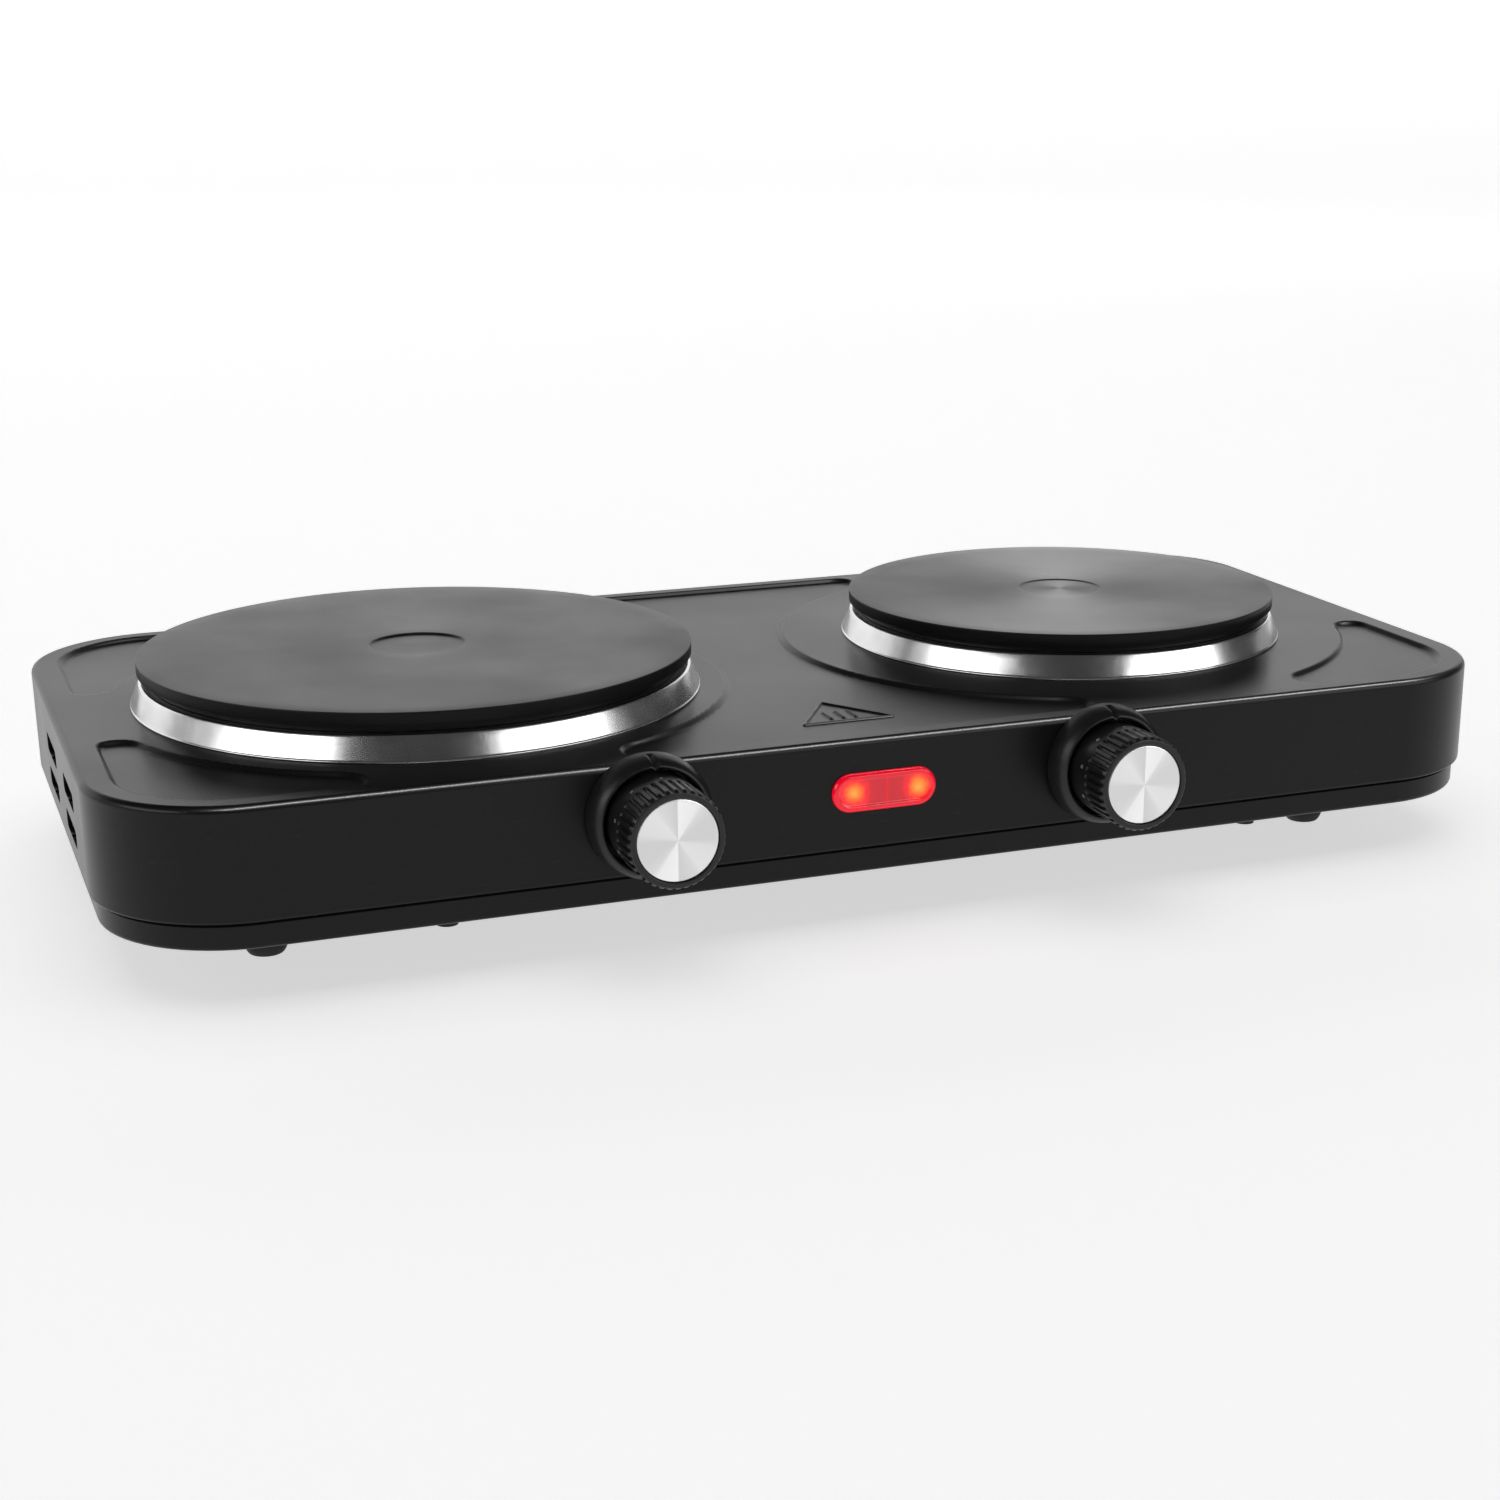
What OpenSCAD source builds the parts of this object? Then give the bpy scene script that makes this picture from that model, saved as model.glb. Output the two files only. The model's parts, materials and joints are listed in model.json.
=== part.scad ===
/* [Case] */
// Width of the case, left to right
case_w = 483; // [470:1:500]
// Depth of the case, front to back
case_d = 240; // [232:1:250]
// Corner radius of the case seen from above
corner_r = 45; // [38:1:50]
// Height of the case's top above the table
case_top = 63.2; // [62:0.1:66]
// Height of the lower edge of the upper case
skirt_z = 27; // [25:0.5:29]
// Thickness of the case's steel sheet
sheet = 1; // [0.8:0.1:1.2]
// Radius of the case's top edge
edge_r = 2; // [1.5:0.1:3]
// Depth of the embossed fields in the top
emboss = 1.4; // [1:0.1:1.8]
// How far the case's middle lies behind the frame's origin
case_y = 10; // [10:1:10]

/* [Plates] */
// Distance of each plate's axis from the middle of the case
plate_x = 121.2; // [119:0.1:122]
// Distance of the plates' axes behind the middle of the case
plate_y = -2; // [-4:0.5:0]
// Radius of the large plate
plate_r_left = 92.5; // [90:0.5:93]
// Radius of the small plate
plate_r_right = 78.5; // [75:0.5:80]
// Height of the plates' faces above the case
plate_rise = 15.4; // [14:0.1:17]
// Height of the visible band at a plate's rim
band_h = 4.1; // [3.5:0.1:5]
// Radius of the raised round field around each plate
field_r = 104.5; // [103:0.5:106]

/* [Knobs] */
// Distance of each knob's axis from the middle of the case
knob_x = 78.3; // [76:0.1:82]
// Height of the knobs' axes above the table
knob_z = 46.9; // [45:0.1:47.5]
// Distance from the front wall to the knob's front rim
knob_reach = 30.2; // [30.2:0.1:30.2]
// Radius of the knob's grip
knob_r = 15.6; // [15.5:0.1:15.8]
// Radius of the knob's smooth scale band
band_r = 15.3; // [15:0.1:15.4]
// Number of grip grooves around the knob
grooves = 36; // [24:2:40]
// Radius of the aluminium disc in the knob's front
disc_r = 13; // [12:0.1:13.5]
// Radius of the thermostat spindle
spindle_r = 3; // [2.5:0.1:3]

/* [Lamp] */
// Width of the pilot lamp's lens
lamp_w = 35.6; // [30:0.2:38]
// Height of the pilot lamp's lens
lamp_h = 12.6; // [12:0.2:15]
// Distance of the lamp's middle from the middle of the case
lamp_x = 0.5; // [-5:0.5:5]
// Height of the lamp's middle above the table
lamp_z = 46; // [45:0.1:47.5]

/* [Base] */
// How far the base pan stands inside the case's outline
base_inset = 2; // [1.8:0.1:2.4]
// Height of the base pan's outer underside
pan_z = 18.2; // [17.5:0.1:19]
// Height of the base pan's lowered middle
tray_z = 14.8; // [14:0.2:16]
// Distance of the feet from the middle of the case, left and right
foot_x = 189.1; // [185:0.1:192]
// Distance of the feet from the middle of the case, front and back
foot_y = 70; // [66:1:72]
// Radius of a foot
foot_r = 7.3; // [7:0.1:8]

/* [Inlet] */
// Distance of the cord inlet from the middle of the case
inlet_x = 175; // [168:1:182]
// Height of the cord inlet above the table
inlet_z = 46; // [46:1:49]
// Radius of the cable bore
inlet_r = 3.6; // [3:0.1:4]

/* [Hidden] */
$fn = 96;

LEFT = -1;
RIGHT = 1;
gap = 0.05;                             // assembly gap between pieces that stand still
front = -case_d / 2;                    // outside of the front wall
inside = front + sheet;                 // inside of the front wall
plate_top = case_top + plate_rise;
band_z = plate_top - band_h;            // underside of a plate's rim
cavity_z = plate_top - 8;               // roof of a plate's underside
skirt_bottom = case_top - 2;            // lower edge of a plate's skirt
strap_z = 50;                           // underside of a mounting bridge's middle
pan_wall_z = 34;                        // upper edge of the base pan's wall
pan_edge_r = 1.6;                       // rounding of its lower edge
rim_reach = 2.9;                        // trim ring's rim beyond the plate
shoulder_h = 2.9;                       // black shoulder between a plate's rim and its trim ring
channel_r = [26, 38, 50, 62];           // radii of the heating coil's turns
knob_front = front - knob_reach;
bezel_front = front - 9.4;
slot_len = 29.5;                        // side vent
slot_h = 6.2;
slot_y = [16.5, -36.5];                 // middles of the side vents, behind the case's middle
slot_z = [case_top - 14.3, case_top - 26.1];
bracket_x = 140;

function plate_r(side) = side == LEFT ? plate_r_left : plate_r_right;
function rim_r(side) = plate_r(side) + rim_reach;
function skirt_r(side) = plate_r(side) - 7;
function opening_r(side) = plate_r(side) - 5;
function turns(side) = [for (r = channel_r) if (r < skirt_r(side) - 8) r];

// ---- shared shapes ----

module at_case() { translate([0, case_y, 0]) children(); }
module at_plate(side) { translate([side * plate_x, case_y + plate_y, 0]) children(); }
// Local z runs out of the front wall along -Y, and local y points up
module at_knob(side) {
    translate([side * knob_x, case_y + front, knob_z]) rotate([90, 0, 0]) children();
}

module ring(r_out, r_in, h) {
    difference() {
        cylinder(h = h, r = r_out);
        translate([0, 0, -1]) cylinder(h = h + 2, r = r_in);
    }
}

module round_rect(w, d, r) {
    square([w - 2 * r, d], center = true);
    square([w, d - 2 * r], center = true);
    for (x = [-1, 1], y = [-1, 1])
        translate([x * (w / 2 - r), y * (d / 2 - r)]) circle(r);
}

// Half of a block's cross-section, with its outer top corner rounded
module rounded_half(reach, h, er) {
    square([reach - er, h]);
    translate([0, 0]) square([reach, h - er]);
    translate([reach - er, h - er]) circle(er);
}

// Block with upright round corners and a rounded top edge, made of parts that meet face to face
module slab(w, d, r, h, er) {
    rotate([90, 0, 90]) linear_extrude(w - 2 * r, center = true) {
        rounded_half(d / 2, h, er);
        mirror([1, 0]) rounded_half(d / 2, h, er);
    }
    for (turn = [0, 180])
        rotate([0, 0, turn]) translate([w / 2 - r, 0, 0])
            rotate([90, 0, 0]) linear_extrude(d - 2 * r, center = true) rounded_half(r, h, er);
    for (x = [-1, 1], y = [-1, 1])
        translate([x * (w / 2 - r), y * (d / 2 - r), 0])
            rotate([0, 0, x > 0 ? (y > 0 ? 0 : 270) : (y > 0 ? 90 : 180)])
                rotate_extrude(angle = 90) rounded_half(r, h, er);
}

module strand(a, b, r) {
    v = b - a;
    translate(a) rotate([0, acos(v[2] / norm(v)), atan2(v[1], v[0])])
        cylinder(h = norm(v), r = r, $fn = 24);
}

// A wire through a list of points, with a bead at each bend
module wire(points, r) {
    for (i = [1 : len(points) - 1]) strand(points[i - 1], points[i], r);
    for (i = [1 : len(points) - 2]) translate(points[i]) sphere(r * 1.2, $fn = 24);
}

// ---- upper case ----

// Outline of the embossed fields, grown all round by g
module field_outline(g) {
    difference() {
        round_rect(463 + 2 * g, 223 + 2 * g, 35 + g);
        for (side = [LEFT, RIGHT]) translate([side * plate_x, plate_y]) {
            circle(field_r - g);
            translate([-40 + g, -140]) square([80 - 2 * g, 280]);
            translate([side == LEFT ? -140 : 0, -31.5 + g]) square([140, 64 - 2 * g]);
        }
    }
}

// Generic raised triangle with three plain strokes
module surface_mark() {
    difference() {
        polygon([[-16.4, -93.4], [15.4, -93.4], [-0.5, -67.8]]);
        polygon([[-12.9, -91.6], [11.9, -91.6], [-0.5, -71.5]]);
    }
    for (x = [-4.8, -0.5, 3.8]) translate([x - 0.5, -88.8]) square([1, 8]);
}

module side_slots() {
    for (y = slot_y, z = slot_z) translate([0, y, z])
        rotate([0, 90, 0]) linear_extrude(case_w + 2, center = true)
            round_rect(slot_h, slot_len, 2.2);
}

module upper_case() {
    h = case_top - skirt_z;
    color("#1c1c1e") at_case() difference() {
        union() {
            difference() {
                translate([0, 0, skirt_z]) slab(case_w, case_d, corner_r, h, edge_r);
                translate([0, 0, skirt_z - 1])
                    slab(case_w - 2 * sheet, case_d - 2 * sheet, corner_r - sheet,
                         h + 1 - sheet, edge_r - sheet);
            }
            translate([0, 0, case_top - emboss - sheet])
                linear_extrude(emboss) field_outline(sheet);
            for (side = [LEFT, RIGHT])
                translate([side * plate_x, plate_y, case_top - 5])
                    ring(opening_r(side) + sheet, opening_r(side), 5 - sheet);
        }
        translate([0, 0, case_top - emboss]) linear_extrude(emboss + 1)
            difference() {
                field_outline(0);
                surface_mark();
            }
        translate([0, 0, case_top - emboss + 0.5]) linear_extrude(emboss) surface_mark();
        for (side = [LEFT, RIGHT]) {
            translate([side * plate_x, plate_y, case_top - 6]) cylinder(h = 8, r = opening_r(side));
            translate([side * knob_x, front - 1, knob_z]) rotate([-90, 0, 0])
                cylinder(h = sheet + 2, r = 5.3);
        }
        translate([lamp_x, front + sheet + 1, lamp_z]) rotate([90, 0, 0])
            linear_extrude(sheet + 2) round_rect(lamp_w - 3, lamp_h - 3, (lamp_h - 3) / 2 - 0.01);
        translate([inlet_x, case_d / 2 - sheet - 1, inlet_z]) rotate([-90, 0, 0])
            cylinder(h = sheet + 2, r = 7.1);
        side_slots();
    }
}

// ---- base ----

module pan_vents() {
    for (side = [LEFT, RIGHT], i = [-3 : 3])
        translate([side * plate_x + i * 14, plate_y, 0]) linear_extrude(40) round_rect(4, 60, 1.9);
}

module base_pan() {
    w = case_w - 2 * base_inset;
    d = case_d - 2 * base_inset;
    r = corner_r - base_inset;
    color("#202022") at_case() difference() {
        union() {
            difference() {
                translate([0, 0, pan_wall_z]) rotate([180, 0, 0])
                    slab(w, d, r, pan_wall_z - pan_z, pan_edge_r);
                translate([0, 0, pan_wall_z + 1]) rotate([180, 0, 0])
                    slab(w - 2 * sheet, d - 2 * sheet, r - sheet, pan_wall_z + 1 - pan_z - sheet,
                         pan_edge_r - sheet);
            }
            translate([0, 0, tray_z]) linear_extrude(pan_z - tray_z) round_rect(440, 196, 26);
        }
        translate([0, 0, tray_z + sheet]) linear_extrude(pan_z - tray_z)
            round_rect(440 - 2 * sheet, 196 - 2 * sheet, 26 - sheet);
        pan_vents();
        for (x = [-1, 1], y = [-1, 1]) {
            translate([x * foot_x, y * foot_y, 0]) cylinder(h = 40, r = 2.1);
            translate([x * bracket_x, y * 110, 0]) cylinder(h = 40, r = 2.1);
        }
        for (x = [-1, 1]) translate([x * 231.5, -10, 0]) cylinder(h = 40, r = 2.1);
    }
}

// One bracket against the inside of a wall: local x leads inwards, and y runs along the wall
module bracket() {
    difference() {
        rotate([90, 0, 0]) linear_extrude(14, center = true) {
            translate([gap, 36]) square([1.2, 12]);
            translate([gap, 36]) square([15.2, 1.2]);
            translate([14 + gap, 20.2]) square([1.2, 17]);
            translate([3.5, 20.2]) square([11.7 + gap, 1.2]);
        }
        translate([9, 0, 18]) cylinder(h = 6, r = 1.6);
    }
}

// Puts a child at each of the six fixing points, local x leading inwards from the wall
module at_brackets() {
    at_case() {
        for (x = [-1, 1]) {
            translate([x * bracket_x, inside, 0]) rotate([0, 0, 90]) children();
            translate([x * bracket_x, -inside, 0]) rotate([0, 0, -90]) children();
        }
        translate([-case_w / 2 + sheet, -10, 0]) children();
        translate([case_w / 2 - sheet, -10, 0]) rotate([0, 0, 180]) children();
    }
}

module case_brackets() { color("#9a9c9e") at_brackets() bracket(); }

module case_screws() {
    color("#8f9194") at_brackets() translate([9, 0, 0]) {
        difference() {
            translate([0, 0, pan_z - 2.2]) cylinder(h = 2.2 - gap, r = 3.4);
            for (a = [0, 90]) rotate([0, 0, a])
                translate([0, 0, pan_z - 2]) cube([4, 0.8, 1.6], center = true);
        }
        translate([0, 0, pan_z - 0.2]) cylinder(h = 8, r = 1.55);
    }
}

module foot(x, y) {
    round_r = 2.7;
    color("#161616") at_case() translate([x * foot_x, y * foot_y, 0]) rotate_extrude()
        difference() {
            union() {
                translate([0, round_r]) square([foot_r, tray_z - round_r - gap]);
                square([foot_r - round_r, tray_z - gap]);
                translate([foot_r - round_r, round_r]) circle(round_r);
                translate([0, tray_z - 2]) square([9, 2 - gap]);
            }
            translate([0, -1]) square([3.2, 8]);
            square([2.1, tray_z + 1]);
        }
}

module foot_front_left() { foot(-1, -1); }
module foot_front_right() { foot(1, -1); }
module foot_back_left() { foot(-1, 1); }
module foot_back_right() { foot(1, 1); }

module foot_screws() {
    color("#8f9194") at_case() for (x = [-1, 1], y = [-1, 1])
        translate([x * foot_x, y * foot_y, 0]) {
            difference() {
                translate([0, 0, 4.8]) cylinder(h = 2.15, r = 2.9);
                for (a = [0, 90]) rotate([0, 0, a])
                    translate([0, 0, 5]) cube([3.6, 0.8, 1.6], center = true);
            }
            translate([0, 0, 6.9]) cylinder(h = 13, r = 1.95);
        }
}

// ---- plates ----

module plate(side) {
    r = plate_r(side);
    boss_r = 9;
    edge = 0.5;                         // rounding of the plate's rim
    color("#2a2a2b") at_plate(side) rotate_extrude($fn = 128) difference() {
        union() {
            translate([0, cavity_z]) square([skirt_r(side), plate_top - cavity_z]);
            translate([0, band_z]) square([r - edge, band_h]);
            translate([0, band_z - shoulder_h]) square([r - 3.4, shoulder_h]);
            translate([0, band_z]) square([r, band_h - edge]);
            translate([r - edge, plate_top - edge]) circle(edge);
            translate([skirt_r(side) - 4, skirt_bottom]) square([4, cavity_z - skirt_bottom]);
            translate([0, skirt_bottom + 0.4]) square([boss_r, cavity_z - skirt_bottom]);
            for (turn = turns(side), wall = [-6, 4])
                translate([turn + wall, skirt_bottom + 4]) square([2, cavity_z - skirt_bottom - 3]);
        }
        translate([0, skirt_bottom]) square([3 + gap, 13]);
        translate([0, plate_top - 0.7]) square([side == LEFT ? 15.9 : 14.8, 2]);
    }
}

module hotplate_left() { plate(LEFT); }
module hotplate_right() { plate(RIGHT); }

// Outline of a trim ring's sheet: flange under the plate, steep cone, foot on the case
module trim_outline(side) {
    r = plate_r(side);
    rim = rim_r(side);
    flange = skirt_r(side) + 0.7;
    top = band_z - shoulder_h - gap;
    t = 0.6;
    polygon([
        [flange, top - t], [r - 0.5 - t, top - t], [rim - t, case_top + gap], [rim, case_top + gap],
        [rim, case_top + 0.7], [r - 0.5, top], [flange, top]
    ]);
}

module trim_ring(side) {
    color("#c9cbcd") at_plate(side) rotate_extrude($fn = 128) trim_outline(side);
}
module trim_ring_left() { trim_ring(LEFT); }
module trim_ring_right() { trim_ring(RIGHT); }

coil_z = cavity_z - 3.4;
coil_r = 2;
lead_y = 38;                            // heater leads, behind the plate's axis
lead_x = 8;

module heating_coil(side) {
    color("#8d8478") at_plate(side) {
        rings = turns(side);
        for (turn = rings) translate([0, 0, coil_z])
            rotate_extrude() translate([turn, 0]) circle(coil_r, $fn = 32);
        for (x = [-1, 1]) translate([x * lead_x, sqrt(38 * 38 - lead_x * lead_x), 53])
            cylinder(h = coil_z - 53, r = 1.1, $fn = 24);
    }
}
module heating_coil_left() { heating_coil(LEFT); }
module heating_coil_right() { heating_coil(RIGHT); }

module lead_holes(r) {
    for (x = [-1, 1]) translate([x * lead_x, sqrt(38 * 38 - lead_x * lead_x), 40])
        cylinder(h = 40, r = r, $fn = 24);
}

module insulation(side) {
    low = skirt_bottom + 1.6;
    color("#d8d0bc") at_plate(side) difference() {
        union() {
            translate([0, 0, low]) ring(skirt_r(side) - 4.3, 9.4, 2);
            for (turn = turns(side)) translate([0, 0, low])
                ring(turn + 3.7, turn - 3.7, coil_z - coil_r - gap - low);
        }
        lead_holes(1.3);
    }
}
module insulation_left() { insulation(LEFT); }
module insulation_right() { insulation(RIGHT); }

module cover_plate(side) {
    color("#a7a9ab") at_plate(side) difference() {
        translate([0, 0, skirt_bottom + 0.6]) ring(skirt_r(side) - 4.2, 9.3, 0.9);
        lead_holes(2.5);
    }
}
module cover_plate_left() { cover_plate(LEFT); }
module cover_plate_right() { cover_plate(RIGHT); }

// Bent strip that hangs from the case's top, outside the opening's collar
module strap_outline(reach) {
    t = 1.6;
    top = case_top - sheet - gap;
    for (flip = [0, 1]) mirror([flip, 0]) polygon([
        [0, strap_z], [reach + 0.6, strap_z], [reach + 1.8, top - t], [reach + 10, top - t],
        [reach + 10, top], [reach + 0.2, top], [reach - 1.2, strap_z + t], [0, strap_z + t]
    ]);
}

module bridge(side) {
    color("#9fa1a3") at_plate(side) difference() {
        rotate([90, 0, 0]) linear_extrude(22, center = true) strap_outline(opening_r(side) + sheet + 2.2);
        translate([0, 0, 40]) cylinder(h = 30, r = 3.2);
        for (x = [-1, 1]) translate([x * 30, 0, 40]) cylinder(h = 30, r = 4);
    }
}
module bridge_left() { bridge(LEFT); }
module bridge_right() { bridge(RIGHT); }

module studs() {
    color("#b8babc") for (side = [LEFT, RIGHT]) at_plate(side)
        translate([0, 0, 41]) cylinder(h = skirt_bottom + 12.5 - 41, r = 3);
}

module stud_washers() {
    color("#b0b2b4") for (side = [LEFT, RIGHT]) at_plate(side)
        translate([0, 0, strap_z - 1.2 - gap]) ring(6.2, 3.2, 1.2);
}

module stud_nuts() {
    color("#a2a4a6") for (side = [LEFT, RIGHT]) at_plate(side)
        translate([0, 0, strap_z - 6.2 - 2 * gap]) difference() {
            cylinder(h = 5, r = 5.8, $fn = 6);
            translate([0, 0, -1]) cylinder(h = 7, r = 3 + gap);
        }
}

module terminal_block(side) {
    low = 52;
    high = skirt_bottom + 0.6 - gap;
    color("#ece7da") at_plate(side) difference() {
        translate([-14, 30, low]) cube([28, 15, high - low]);
        lead_holes(1.3);
        for (x = [-1, 1]) translate([x * lead_x, 29, low + 4]) rotate([-90, 0, 0])
            cylinder(h = 5, r = 1.6, $fn = 24);
    }
}
module terminal_block_left() { terminal_block(LEFT); }
module terminal_block_right() { terminal_block(RIGHT); }

module thermal_cutout(side) {
    high = skirt_bottom + 0.6 - gap;
    color("#c4b27a") at_plate(side) translate([0, -42, 0]) {
        translate([0, 0, high - 2]) cylinder(h = 2, r = 9);
        translate([0, 0, high - 7]) cylinder(h = 5, r = 7.5);
        for (x = [-1, 1]) translate([x * 4 - 0.4, -1.6, high - 12]) cube([0.8, 3.2, 5]);
    }
}
module thermal_cutout_left() { thermal_cutout(LEFT); }
module thermal_cutout_right() { thermal_cutout(RIGHT); }

module heat_shield(side) {
    r = skirt_r(side) - 8;
    z = 32;
    foot_level = tray_z + sheet + gap;
    color("#b9bbbd") at_plate(side) {
        translate([0, 0, z]) ring(r, 12, 0.6);
        translate([0, 0, z]) ring(r, r - 0.6, 5);
        for (a = [45, 135, 225, 315]) rotate([0, 0, a]) {
            translate([r - 12, -5, foot_level]) cube([0.8, 10, z - foot_level]);
            translate([r - 12, -5, foot_level]) cube([8, 10, 0.8]);
        }
    }
}
module heat_shield_left() { heat_shield(LEFT); }
module heat_shield_right() { heat_shield(RIGHT); }

// ---- knobs and thermostats, drawn along local z out of the front wall ----

module bezel(side) {
    out = front - bezel_front;          // how far the bezel stands out
    hole = 16.3;
    color("#151516") at_knob(side) difference() {
        rotate_extrude() difference() {
            union() {
                translate([0, gap]) square([19.9, 4]);
                intersection() {
                    translate([14.5, 4]) circle(5.4);
                    square([22, out]);
                }
                square([17.4, out]);
            }
            square([5.4, out + 1]);
            translate([0, 1.6]) square([hole, out]);
            translate([-1, -1]) square([30, 1 + gap]);
            polygon([[hole - 0.1, out - 0.6], [hole + 0.7, out + 0.1], [hole - 0.1, out + 0.1]]);
        }
        // pointer: a notch across the top of the ring
        translate([0, 20.2, 5.4]) rotate([-28, 0, 0]) rotate([0, 0, 45])
            cube([1.5, 1.5, 14], center = true);
    }
}
module bezel_left() { bezel(LEFT); }
module bezel_right() { bezel(RIGHT); }

module knob(side) {
    back = 2.4;
    web = knob_reach - 3.4;
    grip_back = knob_reach - 12;
    grip_front = knob_reach - 1.5;
    rim_r = knob_r - 0.75;
    color("#141415") at_knob(side) difference() {
        union() {
            difference() {
                rotate_extrude() {
                    translate([0, back]) square([band_r, grip_back - back + 1]);
                    translate([0, grip_back]) square([knob_r, grip_front - grip_back]);
                    translate([0, grip_back]) square([rim_r, knob_reach - grip_back]);
                }
                translate([0, 0, back - 1]) cylinder(h = web - back + 1, r = knob_r - 2);
                // grip grooves
                for (i = [0 : grooves - 1]) rotate([0, 0, (i + 0.5) * 360 / grooves])
                    translate([knob_r + 0.05, 0, grip_back + 0.6])
                        cylinder(h = grip_front - grip_back, r = 0.7, $fn = 16);
            }
            translate([0, 0, 7]) cylinder(h = web - 6, r = 5.8);
            for (a = [30, 150, 270]) rotate([0, 0, a])
                translate([5, -0.7, 12]) cube([knob_r - 6.5, 1.4, web - 11]);
        }
        translate([0, 0, knob_reach - 1.2]) cylinder(h = 2, r = disc_r + gap);
        // D-shaped bore for the spindle
        translate([0, 0, 6]) intersection() {
            cylinder(h = web - 7.5, r = spindle_r + 0.04);
            translate([-5, -5, 0]) cube([10, 5 + spindle_r - 0.96, web]);
        }
    }
}
module knob_left() { knob(LEFT); }
module knob_right() { knob(RIGHT); }

module knob_disc(side) {
    color("#d5d7d9") at_knob(side) translate([0, 0, knob_reach - 1.2 + gap]) {
        cylinder(h = 0.75, r = disc_r);
        cylinder(h = 0.95, r = disc_r - 0.5);
    }
}
module knob_disc_left() { knob_disc(LEFT); }
module knob_disc_right() { knob_disc(RIGHT); }

// Scale on the knob's smooth band: five dots and a wedge that widens with the heat
module knob_marks(side) {
    band = knob_reach - 15.2;
    color("#dddddd") at_knob(side) intersection() {
        translate([0, 0, band - 2]) ring(band_r + 0.12, band_r + 0.01, 4);
        union() {
            for (i = [0 : 4]) rotate([0, 0, 90 + i * 38]) translate([band_r - 3, 0, band])
                rotate([0, 90, 0]) cylinder(h = 6, r = 0.62, $fn = 24);
            for (i = [0 : 9]) rotate([0, 0, 68 - i * 9])
                translate([0, -1.2, band - 0.25 - i * 0.11]) cube([20, 2.4, 0.5 + i * 0.22]);
        }
    }
}
module knob_marks_left() { knob_marks(LEFT); }
module knob_marks_right() { knob_marks(RIGHT); }

module spindle(side) {
    tip = knob_reach - 5.2;
    color("#b5b7b9") at_knob(side) difference() {
        union() {
            translate([0, 0, -11]) cylinder(h = tip + 11, r = spindle_r);
            translate([0, 0, -11]) cylinder(h = 1.9, r = 4.4);
        }
        translate([-5, spindle_r - 1, 6]) cube([10, 5, tip]);
    }
}
module spindle_left() { spindle(LEFT); }
module spindle_right() { spindle(RIGHT); }

module thermostat_body(side) {
    color("#aeb0b2") at_knob(side) difference() {
        union() {
            translate([0, 0, -9]) cylinder(h = 15, r = 5);
            translate([0, 0, -sheet - 3 - gap]) cylinder(h = 3, r = 8.5);
            translate([-13, -15, -8]) cube([26, 27, 1.4]);
            for (x = [-1, 1]) translate([x * 12.3 - 0.7, -15, -22]) cube([1.4, 10, 14.5]);
        }
        translate([0, 0, -13]) cylinder(h = 22, r = spindle_r + 0.04);
    }
}
module thermostat_body_left() { thermostat_body(LEFT); }
module thermostat_body_right() { thermostat_body(RIGHT); }

module thermostat_stack(side) {
    color("#efe9dc") at_knob(side) translate([0, -10, 0]) difference() {
        union() for (z = [-12, -17.6, -23.2]) translate([0, 0, z]) cylinder(h = 3.9, r = 5);
        translate([0, 0, -30]) cylinder(h = 30, r = 1.6);
    }
}
module thermostat_stack_left() { thermostat_stack(LEFT); }
module thermostat_stack_right() { thermostat_stack(RIGHT); }

module contact_blade(side) {
    color("#b98a4c") at_knob(side) {
        for (z = [-13.7, -19.3]) translate([-4, -15, z + 0.3]) difference() {
            translate([0, 0, 0]) cube([8, 25, 0.8]);
            translate([4, 5, -1]) cylinder(h = 3, r = 1.7);
        }
        translate([0, 6, -18.2]) cylinder(h = 1.9, r = 1.8);
        translate([0, 6, -15.2 - gap]) cylinder(h = 1.9 - gap, r = 1.8);
    }
}
module contact_blade_left() { contact_blade(LEFT); }
module contact_blade_right() { contact_blade(RIGHT); }

module spindle_nuts() {
    color("#b0b2b4") for (side = [LEFT, RIGHT]) at_knob(side)
        translate([0, 0, 1.6 + gap]) difference() {
            cylinder(h = 3.6, r = 8, $fn = 6);
            translate([0, 0, -1]) cylinder(h = 6, r = 5 + gap);
        }
}

// ---- pilot lamp ----

module at_lamp() { translate([lamp_x, case_y + front, lamp_z]) rotate([90, 0, 0]) children(); }
module capsule(w, h) { round_rect(w, h, h / 2 - 0.01); }

module lamp_lens() {
    color("#d8241a") at_lamp() difference() {
        union() {
            translate([0, 0, gap]) linear_extrude(1.1) capsule(lamp_w, lamp_h);
            translate([0, 0, 1]) linear_extrude(0.7) capsule(lamp_w - 1.6, lamp_h - 1.6);
            translate([0, 0, -5]) linear_extrude(5.5) capsule(lamp_w - 3.6, lamp_h - 3.6);
        }
        translate([0, 0, -6]) linear_extrude(5.8) capsule(lamp_w - 6, lamp_h - 6);
        translate([-0.35, -lamp_h, 1.2]) cube([0.7, 2 * lamp_h, 1]);
    }
}

module lamp_housing() {
    color("#e6e2d6") at_lamp() difference() {
        union() {
            translate([0, 0, -sheet - gap - 1.5]) linear_extrude(1.5) capsule(lamp_w + 3, lamp_h + 3);
            translate([0, 0, -22]) linear_extrude(20) capsule(lamp_w, lamp_h);
        }
        translate([0, 0, -20.5]) linear_extrude(21) capsule(lamp_w - 3.4, lamp_h - 3.4);
        for (x = [-1, 1]) translate([x * 10.5, 0, -23]) cylinder(h = 4, r = 2);
    }
}

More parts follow.
